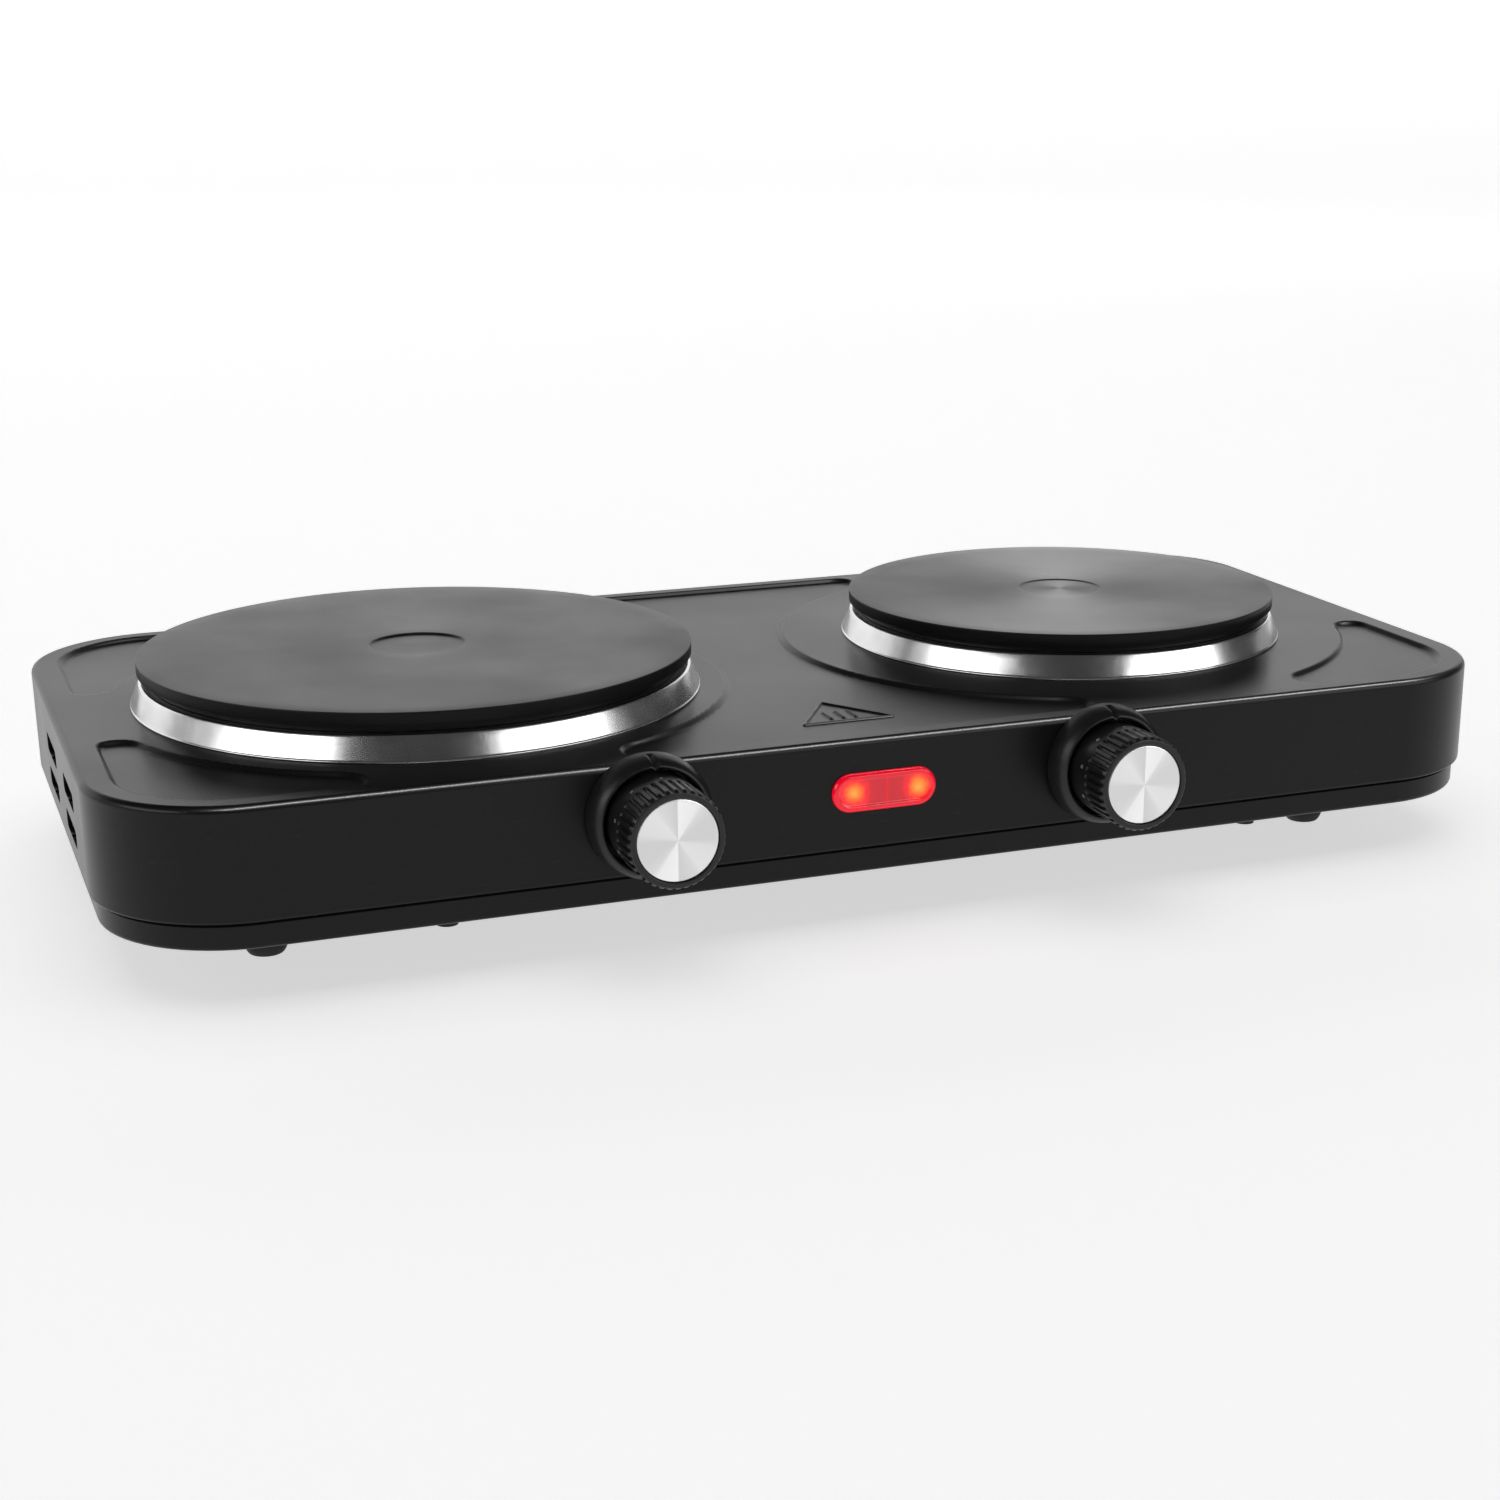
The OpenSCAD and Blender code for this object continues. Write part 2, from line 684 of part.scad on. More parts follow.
module neon_bulb(side) {
    color("#ff8a3c") at_lamp() translate([side * 10.5 - 0.5, 0, 0]) {
        translate([0, 0, -19]) cylinder(h = 13, r = 2.9);
        translate([0, 0, -6]) sphere(2.9);
        translate([0, 0, -24]) cylinder(h = 5, r = 1.2);
    }
}
module neon_bulb_left() { neon_bulb(LEFT); }
module neon_bulb_right() { neon_bulb(RIGHT); }

// ---- mains side ----

module at_inlet() {
    translate([inlet_x, case_y - front, inlet_z]) rotate([-90, 0, 0]) children();
}

module cord_gland() {
    color("#17171a") at_inlet() rotate_extrude() difference() {
        union() {
            translate([0, gap]) square([10, 2.4]);
            translate([0, gap]) polygon([[0, 0], [8, 0], [6.6, 10.15], [0, 10.15]]);
            translate([0, -9]) square([7, 9.2]);
        }
        translate([0, -10]) square([inlet_r, 30]);
    }
}

module gland_nut() {
    color("#2b2b2e") at_inlet() translate([0, 0, -sheet - 5 - gap]) difference() {
        cylinder(h = 5, r = 11, $fn = 6);
        translate([0, 0, -1]) cylinder(h = 7, r = 7 + gap);
    }
}

terminal_pos = [150, 60, tray_z + sheet + gap];
pole_pitch = 10;

module mains_terminal() {
    color("#f0ece0") at_case() translate(terminal_pos) difference() {
        translate([-16, -8, 0]) cube([32, 16, 14]);
        for (i = [-1 : 1]) translate([i * pole_pitch, 0, 0]) {
            translate([0, 0, 5]) cylinder(h = 12, r = 2.6);
            translate([0, -9, 7]) rotate([-90, 0, 0]) cylinder(h = 18, r = 1.7);
        }
    }
}

module terminal_screws() {
    color("#c8a64e") at_case() translate(terminal_pos) for (i = [-1 : 1])
        translate([i * pole_pitch, 0, 9]) difference() {
            cylinder(h = 4, r = 2.5);
            translate([0, 0, 4]) cube([6, 0.7, 1.6], center = true);
        }
}

module earth_tab() {
    color("#cfb25a") at_case() translate([185, 60, tray_z + sheet + gap]) {
        cube([10, 8, 0.8]);
        translate([0, 0, 0]) cube([0.8, 8, 12]);
        translate([6, 4, 0.7]) cylinder(h = 2.6, r = 2.6);
    }
}

wire_r = 1.3;

// Live run: terminal, left thermostat, left plate's block
module wire_live() {
    color("#7a4a24") at_case() wire([
        [140, 51.5, 22.9], [140, 45, 22.9], [100, 45, 22.9], [100, 80, 22.9], [-20, 80, 24],
        [-20, -84, 24], [-66, -84, 24], [-66, -90, 32]
    ], wire_r);
}

// Neutral run: terminal, right plate, left plate
module wire_neutral() {
    color("#3767a8") at_case() wire([
        [150, 68.5, 22.9], [150, 92, 28], [-12, 92, 28], [-12, 30, 28]
    ], wire_r);
}

module wire_lamp() {
    color("#c9c4b6") at_case() wire([
        [11, front + 25, lamp_z], [11, -78, lamp_z], [11, -78, 28], [2, -40, 28]
    ], 0.9);
}

upper_case();
base_pan();
case_brackets();
case_screws();
foot_front_left();
foot_front_right();
foot_back_left();
foot_back_right();
foot_screws();
hotplate_left();
hotplate_right();
trim_ring_left();
trim_ring_right();
heating_coil_left();
heating_coil_right();
insulation_left();
insulation_right();
cover_plate_left();
cover_plate_right();
bridge_left();
bridge_right();
terminal_block_left();
terminal_block_right();
thermal_cutout_left();
thermal_cutout_right();
heat_shield_left();
heat_shield_right();
studs();
stud_nuts();
stud_washers();
bezel_left();
bezel_right();
knob_left();
knob_right();
knob_disc_left();
knob_disc_right();
knob_marks_left();
knob_marks_right();
spindle_left();
spindle_right();
thermostat_body_left();
thermostat_body_right();
thermostat_stack_left();
thermostat_stack_right();
contact_blade_left();
contact_blade_right();
spindle_nuts();
lamp_lens();
lamp_housing();
neon_bulb_left();
neon_bulb_right();
cord_gland();
gland_nut();
mains_terminal();
terminal_screws();
earth_tab();
wire_live();
wire_neutral();
wire_lamp();
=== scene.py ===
import json
import math

import bpy
import numpy as np
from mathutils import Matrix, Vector
from mathutils.geometry import delaunay_2d_cdt


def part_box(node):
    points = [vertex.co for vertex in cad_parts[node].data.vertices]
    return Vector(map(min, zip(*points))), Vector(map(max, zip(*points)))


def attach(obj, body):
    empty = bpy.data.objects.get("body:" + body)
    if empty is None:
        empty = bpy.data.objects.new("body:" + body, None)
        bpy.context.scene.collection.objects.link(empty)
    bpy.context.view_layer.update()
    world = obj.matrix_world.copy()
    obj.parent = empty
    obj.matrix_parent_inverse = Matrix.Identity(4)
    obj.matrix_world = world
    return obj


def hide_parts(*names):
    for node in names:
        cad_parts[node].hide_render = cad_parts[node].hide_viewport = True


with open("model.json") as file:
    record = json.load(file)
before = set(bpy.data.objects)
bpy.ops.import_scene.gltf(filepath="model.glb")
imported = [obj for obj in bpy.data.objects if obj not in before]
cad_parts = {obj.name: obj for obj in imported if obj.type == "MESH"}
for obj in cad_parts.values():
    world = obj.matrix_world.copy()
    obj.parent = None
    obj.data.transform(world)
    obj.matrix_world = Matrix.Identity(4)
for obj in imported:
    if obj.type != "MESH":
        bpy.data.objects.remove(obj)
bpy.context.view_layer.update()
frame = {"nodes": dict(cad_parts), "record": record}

# ---------------------------------------------------------------- driving sizes, millimetres
CASE_W, CASE_D, CORNER_R = 483.0, 240.0, 45.0
CASE_Y = 10.0                       # the case's middle lies this far behind the origin
CASE_TOP = 63.2
SKIRT_Z = 27.0                      # lower edge of the upper case
SEAM_SHADE_H = 1.2                        # height of the band of painted shade along the seam below it
EDGE_R = 2.3                        # rounding of the case's top edge
LIP_R = 1.2                         # rounding of its lower edge
SHEET = 1.2                         # thickness of the steel
EMBOSS = 1.4                        # depth of the sunk fields in the top
SLOPE = 2.0                         # width of the embossing's sloped sides
PLATE_X, PLATE_Y = 121.2, -2.0      # plate axes, from the middle of the case
FIELD_R = 104.5                     # raised round field around each plate
KNOB_X, KNOB_Z = 78.3, 46.9
FRONT = -CASE_D / 2                 # front wall, from the middle of the case
REACH = 30.2                        # from the front wall to the knob's front
KNOB_R = 15.6
DISC_R = 13.0
LAMP_X, LAMP_Z, LAMP_W, LAMP_H = 0.5, 46.0, 35.6, 12.6
GLOW_X = (-10.0, 12.1)              # the two bulbs behind the lens
SEAM_X = 0.8                        # line between the lens's panes, from its middle
VENT_Y, VENT_Z = (16.5, -36.5), (CASE_TOP - 14.3, CASE_TOP - 26.1)
VENT_L, VENT_H, VENT_R = 29.5, 6.2, 2.2
LENS_LAP = 3.0                      # how much the lens is larger than its slot
INLET_X, INLET_Z, INLET_D = 175.0, 46.0, 13.0
BUSHING_D = 10.4                    # holes for the thermostats' bushings
SIDES = {"left": -1, "right": 1}
MM = 0.001                          # metres in a millimetre


# ---------------------------------------------------------------- materials
def new_material(name, color, roughness, metallic=0.0, **sockets):
    """Principled material with constant sockets. Gives (material, add, principled node)."""
    mat = bpy.data.materials.new(name)
    mat.use_nodes = True
    mat.diffuse_color = (*color, 1.0)
    tree = mat.node_tree
    bsdf = tree.nodes["Principled BSDF"]
    bsdf.inputs["Base Color"].default_value = (*color, 1.0)
    bsdf.inputs["Roughness"].default_value = roughness
    bsdf.inputs["Metallic"].default_value = metallic
    for key, value in sockets.items():
        bsdf.inputs[key.replace("_", " ")].default_value = value

    def add(kind, links=None, **settings):
        node = tree.nodes.new("ShaderNode" + kind)
        for key, value in settings.items():
            setattr(node, key, value)
        for key, value in (links or {}).items():
            if isinstance(value, bpy.types.NodeSocket):
                tree.links.new(value, node.inputs[key])
            else:
                node.inputs[key].default_value = value
        return node

    add.link = tree.links.new
    return mat, add, bsdf


def noise(add, scale, detail=3.0, stretch=(1, 1, 1), rough=0.5):
    """Noise in object space, so that it keeps its real size. scale is in cells per metre."""
    place = add("TexCoord").outputs["Object"]
    mapped = add("Mapping", {"Vector": place, "Scale": stretch}).outputs["Vector"]
    tex = add("TexNoise", {"Vector": mapped, "Scale": scale, "Detail": detail, "Roughness": rough})
    return tex.outputs["Fac"]


def spread(add, value, low, high, start=0.3, end=0.7):
    """Maps a 0..1 value from start..end to low..high."""
    links = {"Value": value, "From Min": start, "From Max": end, "To Min": low, "To Max": high}
    return add("MapRange", links).outputs["Result"]


def blend_color(add, fac, dark, light):
    """Mixes two colours, each given as a tuple or as a colour socket."""
    node = add("Mix", data_type="RGBA")
    add.link(fac, node.inputs[0])
    for socket, color in ((node.inputs[6], dark), (node.inputs[7], light)):
        if isinstance(color, bpy.types.NodeSocket):
            add.link(color, socket)
        else:
            socket.default_value = (*color, 1.0)
    return node.outputs[2]


def bump(add, bsdf, layers):
    """Adds (height, strength, distance) layers of bump, the coarse ones first."""
    normal = None
    for height, strength, distance in layers:
        links = {"Height": height, "Strength": strength, "Distance": distance}
        if normal:
            links["Normal"] = normal
        normal = add("Bump", links).outputs["Normal"]
    add.link(normal, bsdf.inputs["Normal"])


def worn_edge(add, low, high):
    """1 on convex edges, 0 on flats, broken up by noise."""
    point = add("NewGeometry").outputs["Pointiness"]
    edge = spread(add, point, 0.0, 1.0, low, high)
    patchy = spread(add, noise(add, 220, 4), 0.0, 1.0, 0.42, 0.62)
    return add("Math", {0: edge, 1: patchy}, operation="MULTIPLY").outputs[0]


def radial_distance(add):
    """Distance from the object's z axis, in metres."""
    place = add("TexCoord").outputs["Object"]
    flat = add("VectorMath", {0: place, 1: (1, 1, 0)}, operation="MULTIPLY").outputs["Vector"]
    return add("VectorMath", {0: flat}, operation="LENGTH").outputs["Value"]


def turning(add, pitch, wobble=0.0):
    """Fine lathe marks round the z axis: 0..1, with the given pitch in metres."""
    radius = radial_distance(add)
    if wobble:
        extra = add("Math", {0: noise(add, 60, 2), 1: wobble}, operation="MULTIPLY").outputs[0]
        radius = add("Math", {0: radius, 1: extra}, operation="ADD").outputs[0]
    coarse = add("Math", {0: radius, 1: 1.0 / pitch}, operation="MULTIPLY").outputs[0]
    joined = add("CombineXYZ", {"X": coarse}).outputs["Vector"]
    marks = add("TexNoise", {"Vector": joined, "Scale": 1.0, "Detail": 4.0, "Roughness": 0.7})
    return marks.outputs["Fac"]


def round_tangent(add, bsdf):
    """Sets the anisotropy's tangent to run round the object's z axis."""
    place = add("TexCoord").outputs["Object"]
    cross = add("VectorMath", {0: (0.0, 0.0, 1.0), 1: place}, operation="CROSS_PRODUCT")
    world = add("VectorTransform", {"Vector": cross.outputs["Vector"]}, vector_type="VECTOR",
                convert_from="OBJECT", convert_to="WORLD").outputs["Vector"]
    unit = add("VectorMath", {0: world}, operation="NORMALIZE").outputs["Vector"]
    add.link(unit, bsdf.inputs["Tangent"])


def case_paint():
    """Black semi-gloss enamel, slightly rubbed, with painted shade along the seam below the skirt, where it
    mirrors nothing.
    """
    mat, add, bsdf = new_material("case_paint", (0.004, 0.004, 0.0042), 0.3, Specular_IOR_Level=0.24)
    grain = noise(add, 2600, 2)
    peel = noise(add, 420, 3)
    cloud = noise(add, 14, 3)
    add.link(spread(add, cloud, 0.27, 0.33), bsdf.inputs["Roughness"])
    rubbed = spread(add, noise(add, 160, 5, (1, 1, 4)), 0.0, 1.0, 0.60, 0.78)
    add.link(blend_color(add, rubbed, (0.004, 0.004, 0.0042), (0.009, 0.009, 0.009)),
             bsdf.inputs["Base Color"])
    # painted shade: in a narrow band at the seam under the skirt the paint mirrors nothing, standing in for
    # the shadow in the gap
    height = add("SeparateXYZ", {"Vector": add("TexCoord").outputs["Object"]}).outputs["Z"]
    above = add("Math", {0: height, 1: (SKIRT_Z - SEAM_SHADE_H / 2) * MM}, operation="SUBTRACT").outputs[0]
    off = add("Math", {0: above}, operation="ABSOLUTE").outputs[0]
    painted_seam_shade = spread(add, off, 0.0, 0.22, SEAM_SHADE_H * 0.38 * MM, SEAM_SHADE_H * 0.55 * MM)
    add.link(painted_seam_shade, bsdf.inputs["Specular IOR Level"])
    bump(add, bsdf, [(peel, 0.10, 0.00006), (grain, 0.22, 0.00003)])
    return mat


def cast_plate(name, level, rough_low, rough_high, marks, mark_strength, anisotropy):
    """Coated cast iron: fine grain, lathe marks and slightly rubbed edges."""
    mat, add, bsdf = new_material(name, (level, level, level), rough_low,
                                  Anisotropic=anisotropy, Specular_IOR_Level=0.5)
    grain = noise(add, 1900, 4)
    cloud = noise(add, 22, 4)
    add.link(spread(add, cloud, rough_low, rough_high), bsdf.inputs["Roughness"])
    worn = worn_edge(add, 0.56, 0.66)
    light = (level * 2.0, level * 2.0, level * 1.95)
    add.link(blend_color(add, worn, (level, level, level), light), bsdf.inputs["Base Color"])
    # painted shade: the plate mirrors less the more its surface faces sideways, so the band round the turned
    # top stays dark
    painted_shade_facing = add("SeparateXYZ", {"Vector": add("NewGeometry").outputs["Normal"]}).outputs["Z"]
    add.link(spread(add, painted_shade_facing, 0.10, 0.5, 0.35, 0.9), bsdf.inputs["Specular IOR Level"])
    round_tangent(add, bsdf)
    bump(add, bsdf, [(turning(add, marks, 0.00012), mark_strength, 0.00008), (grain, 0.16, 0.00005)])
    return mat


def polished_steel():
    """Bright stainless steel with smudges, faint dents and fine lines from the polishing."""
    mat, add, bsdf = new_material("polished_steel", (0.74, 0.74, 0.745), 0.2, 1.0)
    smudge = noise(add, 26, 5, rough=0.65)
    add.link(spread(add, smudge, 0.17, 0.27, 0.35, 0.68), bsdf.inputs["Roughness"])
    fine = noise(add, 90, 3)
    clean = spread(add, fine, 0.0, 1.0, 0.35, 0.75)
    tint = blend_color(add, clean, (0.66, 0.66, 0.665), (0.80, 0.80, 0.80))
    add.link(tint, bsdf.inputs["Base Color"])
    dents = noise(add, 55, 2)
    bump(add, bsdf, [(dents, 0.16, 0.0012), (turning(add, 0.00035), 0.05, 0.00005)])
    return mat


def ramp(add, value, stops):
    """Colour ramp over value, from (position, colour) stops."""
    node = add("ValToRGB", {"Fac": value})
    elements = node.color_ramp.elements
    while len(elements) < len(stops):
        elements.new(0.5)
    for element, (position, color) in zip(elements, stops):
        element.position = position
        element.color = (*color, 1.0)
    return node.outputs["Color"]


def spun_aluminium():
    """Finely turned disc. The turning throws the light into two opposite wedges, sharp on one side; these
    wedges are also painted into its colour as painted reflections.
    """
    mat, add, bsdf = new_material("spun_aluminium", (0.72, 0.72, 0.73), 0.34, 1.0, Anisotropic=0.35)
    marks = turning(add, 0.00016)
    add.link(spread(add, marks, 0.30, 0.38), bsdf.inputs["Roughness"])
    place = add("TexCoord").outputs["Object"]
    angle = add("TexGradient", {"Vector": place}, gradient_type="RADIAL").outputs["Fac"]
    half = add("Math", {0: add("Math", {0: angle, 1: 2.0}, operation="MULTIPLY").outputs[0]},
               operation="FRACT").outputs[0]
    fine = add("Math", {0: add("Math", {0: marks, 1: 0.03}, operation="MULTIPLY").outputs[0], 1: half},
               operation="ADD").outputs[0]
    # painted reflection: each half turn, a bright wedge that ends sharply, then a fainter one
    wedge_reflection_grey = [(0.0, 0.74), (0.20, 0.76), (0.29, 0.82), (0.34, 0.97), (0.505, 1.0),
            (0.52, 0.70), (0.66, 0.78), (0.72, 0.86), (0.92, 0.84), (1.0, 0.74)]
    add.link(ramp(add, fine, [(at, (g, g, g * 1.005)) for at, g in wedge_reflection_grey]), bsdf.inputs["Base Color"])
    round_tangent(add, bsdf)
    bump(add, bsdf, [(marks, 0.10, 0.00003)])
    return mat


def black_plastic(name, level, rough_low, rough_high, grain_strength):
    """Grained black plastic or rubber, a little paler where its edges are worn."""
    mat, add, bsdf = new_material(name, (level, level, level), rough_low, Specular_IOR_Level=0.42)
    cloud = noise(add, 130, 3)
    add.link(spread(add, cloud, rough_low, rough_high), bsdf.inputs["Roughness"])
    worn = worn_edge(add, 0.53, 0.62)
    add.link(blend_color(add, worn, (level,) * 3, (level * 4,) * 3), bsdf.inputs["Base Color"])
    bump(add, bsdf, [(noise(add, 3200, 2), grain_strength, 0.00004)])
    return mat


def plain_metal(name, color, rough, scale=300):
    """Plated or rolled metal for the hidden and small parts."""
    mat, add, bsdf = new_material(name, color, rough, 1.0)
    stain = noise(add, scale * 0.2, 4)
    add.link(spread(add, stain, rough * 0.75, rough * 1.3), bsdf.inputs["Roughness"])
    dark = tuple(c * 0.72 for c in color)
    add.link(blend_color(add, spread(add, stain, 0.0, 1.0), dark, color), bsdf.inputs["Base Color"])
    bump(add, bsdf, [(noise(add, scale * 6, 2, (1, 1, 6)), 0.15, 0.00004)])
    return mat


def plain_matte(name, color, rough, scale=700):
    """Ceramic, sleeve, print and powder for the hidden and small parts."""
    mat, add, bsdf = new_material(name, color, rough)
    fleck = noise(add, scale, 4)
    dark = tuple(c * 0.8 for c in color)
    add.link(blend_color(add, spread(add, fleck, 0.0, 1.0), dark, color), bsdf.inputs["Base Color"])
    add.link(spread(add, fleck, rough * 0.85, min(1.0, rough * 1.1)), bsdf.inputs["Roughness"])
    bump(add, bsdf, [(fleck, 0.25, 0.00006)])
    return mat


def lamp_red():
    """Red lens lit from behind: two hot spots, a bright rim and the line between the panes."""
    mat, add, bsdf = new_material("lamp_red", (0.30, 0.005, 0.012), 0.12, Emission_Strength=1.0)
    place = add("TexCoord").outputs["Object"]
    flat = add("VectorMath", {0: place, 1: (1, 1, 0)}, operation="MULTIPLY").outputs["Vector"]
    ripple = noise(add, 420, 3)
    spots = []
    for x in GLOW_X:
        centre = ((x - LAMP_X) * MM, 0.0, 0.0)
        spots.append(add("VectorMath", {0: flat, 1: centre}, operation="DISTANCE").outputs["Value"])
    near = add("Math", {0: spots[0], 1: spots[1]}, operation="MINIMUM").outputs[0]
    shaken = add("Math", {0: add("Math", {0: ripple, 1: 0.0024}, operation="MULTIPLY").outputs[0], 1: near},
                 operation="ADD").outputs[0]
    reach = spread(add, shaken, 0.0, 1.0, 0.0012, 0.0096)
    glow = ramp(add, reach, [
        (0.0, (1.0, 0.40, 0.05)), (0.20, (1.0, 0.24, 0.02)), (0.36, (1.0, 0.09, 0.01)),
        (0.50, (0.86, 0.010, 0.02)), (0.72, (0.52, 0.010, 0.018)), (1.0, (0.46, 0.010, 0.018))
    ])
    # distance from the middle line of the pill shape, so that its rim can be told apart
    off = add("VectorMath", {0: flat}, operation="ABSOLUTE").outputs["Vector"]
    bar = ((LAMP_W - LAMP_H) / 2 * MM, 0.0, 0.0)
    past = add("VectorMath", {0: off, 1: bar}, operation="SUBTRACT").outputs["Vector"]
    past = add("VectorMath", {0: past, 1: (0.0, 0.0, 0.0)}, operation="MAXIMUM").outputs["Vector"]
    across = add("VectorMath", {0: past}, operation="LENGTH").outputs["Value"]
    rim = spread(add, across, 0.0, 1.0, (LAMP_H / 2 - 2.0) * MM, (LAMP_H / 2 - 0.9) * MM)
    side = add("SeparateXYZ", {"Vector": place}).outputs["X"]
    from_seam = add("Math", {0: side, 1: SEAM_X * MM}, operation="SUBTRACT").outputs[0]
    from_seam = add("Math", {0: from_seam}, operation="ABSOLUTE").outputs[0]
    seam = spread(add, from_seam, 1.0, 0.0, 0.00025, 0.0005)
    edge = add("Math", {0: rim, 1: seam}, operation="MAXIMUM").outputs[0]
    add.link(blend_color(add, edge, glow, (0.66, 0.0, 0.016)), bsdf.inputs["Emission Color"])
    add.link(spread(add, ripple, 0.05, 0.20), bsdf.inputs["Roughness"])
    bump(add, bsdf, [(ripple, 0.35, 0.0004), (seam, -0.5, 0.0005)])
    return mat


def neon():
    """Glass of a lit neon bulb."""
    mat, add, bsdf = new_material("neon_glow", (1.0, 0.42, 0.12), 0.2, Emission_Strength=9.0)
    core = noise(add, 400, 2)
    add.link(blend_color(add, spread(add, core, 0.0, 1.0), (1.0, 0.30, 0.04), (1.0, 0.50, 0.10)),
             bsdf.inputs["Emission Color"])
    return mat


PAINT = case_paint()
IRON = {
    "left": cast_plate("plate_iron", 0.020, 0.33, 0.42, 0.0011, 0.05, 0.15),
    "right": cast_plate("plate_iron_turned", 0.020, 0.27, 0.34, 0.0007, 0.12, 0.72),
}
STEEL = polished_steel()
DISC = spun_aluminium()
BEZEL = black_plastic("bezel_plastic", 0.011, 0.36, 0.46, 0.12)
KNOB = black_plastic("knob_plastic", 0.010, 0.33, 0.45, 0.15)
RUBBER = black_plastic("foot_rubber", 0.012, 0.6, 0.75, 0.35)
RED = lamp_red()
NEON = neon()
ZINC = plain_metal("zinc_steel", (0.60, 0.61, 0.62), 0.32)
PRINT = plain_matte("scale_print", (0.30, 0.30, 0.30), 0.55, 2400)
BY_SLOT = {
    "case_enamel": PAINT, "plate_iron": IRON["left"], "trim_steel": STEEL, "zinc_steel": ZINC,
    "foot_rubber": RUBBER, "knob_plastic": KNOB, "disc_aluminium": DISC, "lamp_red": RED,
    "neon_glow": NEON, "scale_print": PRINT,
    "coil_sheath": plain_metal("coil_sheath", (0.30, 0.27, 0.24), 0.45),
    "insulating_fill": plain_matte("insulating_fill", (0.70, 0.66, 0.56), 0.9),
    "ceramic": plain_matte("ceramic", (0.84, 0.81, 0.73), 0.6),
    "lamp_white": plain_matte("lamp_white", (0.80, 0.78, 0.72), 0.4),
    "spring_bronze": plain_metal("spring_bronze", (0.62, 0.40, 0.20), 0.3),
    "terminal_brass": plain_metal("terminal_brass", (0.70, 0.53, 0.24), 0.3),
    "wire_brown": plain_matte("wire_brown", (0.20, 0.10, 0.05), 0.6),
    "wire_blue": plain_matte("wire_blue", (0.06, 0.14, 0.38), 0.6),
    "wire_natural": plain_matte("wire_natural", (0.66, 0.62, 0.52), 0.8),
}
BY_NODE = {"case_screws": plain_metal("black_zinc", (0.035, 0.035, 0.035), 0.4)}
for part in frame["record"]["subparts"]:
    for slot in frame["nodes"][part["node"]].material_slots:
        slot.material = BY_NODE.get(part["node"], BY_SLOT[part["material_slot"]])


# ---------------------------------------------------------------- mesh tools
class Shell:
    """Collects vertices, normals and faces for one piece, in millimetres."""

    def __init__(self):
        self.verts, self.normals, self.faces = [], [], []

    def add(self, points, normals, faces):
        base = len(self.verts)
        self.verts.extend(tuple(p) for p in points)
        self.normals.extend(tuple(n) for n in normals)
        self.faces.extend(tuple(base + i for i in f) for f in faces)

    def loft(self, loops, loop_normals, down=False):
        """Quads between anticlockwise loops. They face out when the loops climb, or, with down, sink."""
        count = len(loops[0])
        faces = []
        for k in range(len(loops) - 1):
            for i in range(count):
                j = (i + 1) % count
                quad = (k * count + i, k * count + j, (k + 1) * count + j, (k + 1) * count + i)
                faces.append(quad[::-1] if down else quad)
        points = [p for loop in loops for p in loop]
        normals = [n for loop in loop_normals for n in loop]
        self.add(points, normals, faces)

    def build(self, name, material, location=(0, 0, 0), rotation=(0, 0, 0), sharp=None):
        """With sharp, normals come from the faces, split where they meet at more than that angle."""
        mesh = bpy.data.meshes.new(name)
        mesh.from_pydata([Vector(v) * MM for v in self.verts], [], self.faces)
        mesh.polygons.foreach_set("use_smooth", [True] * len(mesh.polygons))
        mesh.materials.append(material)
        if sharp is None:
            mesh.normals_split_custom_set_from_vertices([Vector(n).normalized() for n in self.normals])
        else:
            mesh.set_sharp_from_angle(angle=math.radians(sharp))
        obj = bpy.data.objects.new(name, mesh)
        bpy.context.scene.collection.objects.link(obj)
        obj.location = Vector(location) * MM
        obj.rotation_euler = rotation
        bpy.context.view_layer.update()
        return obj


def rounded(points, steps=5):
    """Points of a profile given as (a, b, rounding length), with each corner rounded."""
    out = []
    for i, (a, b, cut) in enumerate(points):
        here = np.array((a, b), float)
        if cut == 0 or i in (0, len(points) - 1):
            out.append(here)
            continue
        back = np.array(points[i - 1][:2], float) - here
        ahead = np.array(points[i + 1][:2], float) - here
        start = here + back * min(cut / np.linalg.norm(back), 0.5)
        end = here + ahead * min(cut / np.linalg.norm(ahead), 0.5)
        for t in np.linspace(0, 1, steps + 1):
            out.append((1 - t) ** 2 * start + 2 * t * (1 - t) * here + t ** 2 * end)
    return out


def lathe(profile, segments=160, radius_at=None):
    """Turns a profile of (radius, z) round the z axis. The profile runs clockwise: over the top, then down.
    radius_at(angle, radius, z) may change the radius."""
    shell = Shell()
    angles = np.arange(segments) * 2 * math.pi / segments
    loops = []
    for r, z in profile:
        loops.append([])
        for a in angles:
            rr = radius_at(a, r, z) if radius_at else r
            loops[-1].append((rr * math.cos(a), rr * math.sin(a), z))
    shell.loft(loops, loops, down=True)
    if profile[0][0] < 0.01 or profile[-1][0] < 0.01:
        weld(shell)
    return shell


def weld(shell):
    """Joins the points that lie on the axis, so that the turned face closes in a fan."""
    keep, index, verts, normals = {}, [], [], []
    for v, n in zip(shell.verts, shell.normals):
        key = (round(v[2], 5), "axis") if math.hypot(v[0], v[1]) < 0.01 else len(index)
        if key not in keep:
            keep[key] = len(verts)
            verts.append(v)
            normals.append(n)
        index.append(keep[key])
    faces = []
    for f in shell.faces:
        f = [index[i] for i in f]
        f = [v for k, v in enumerate(f) if v != f[k - 1]]
        if len(f) > 2:
            faces.append(tuple(f))
    shell.verts, shell.normals, shell.faces = verts, normals, faces


# ---------------------------------------------------------------- case outline
ARC_STEPS = 22
STEP = 6.0


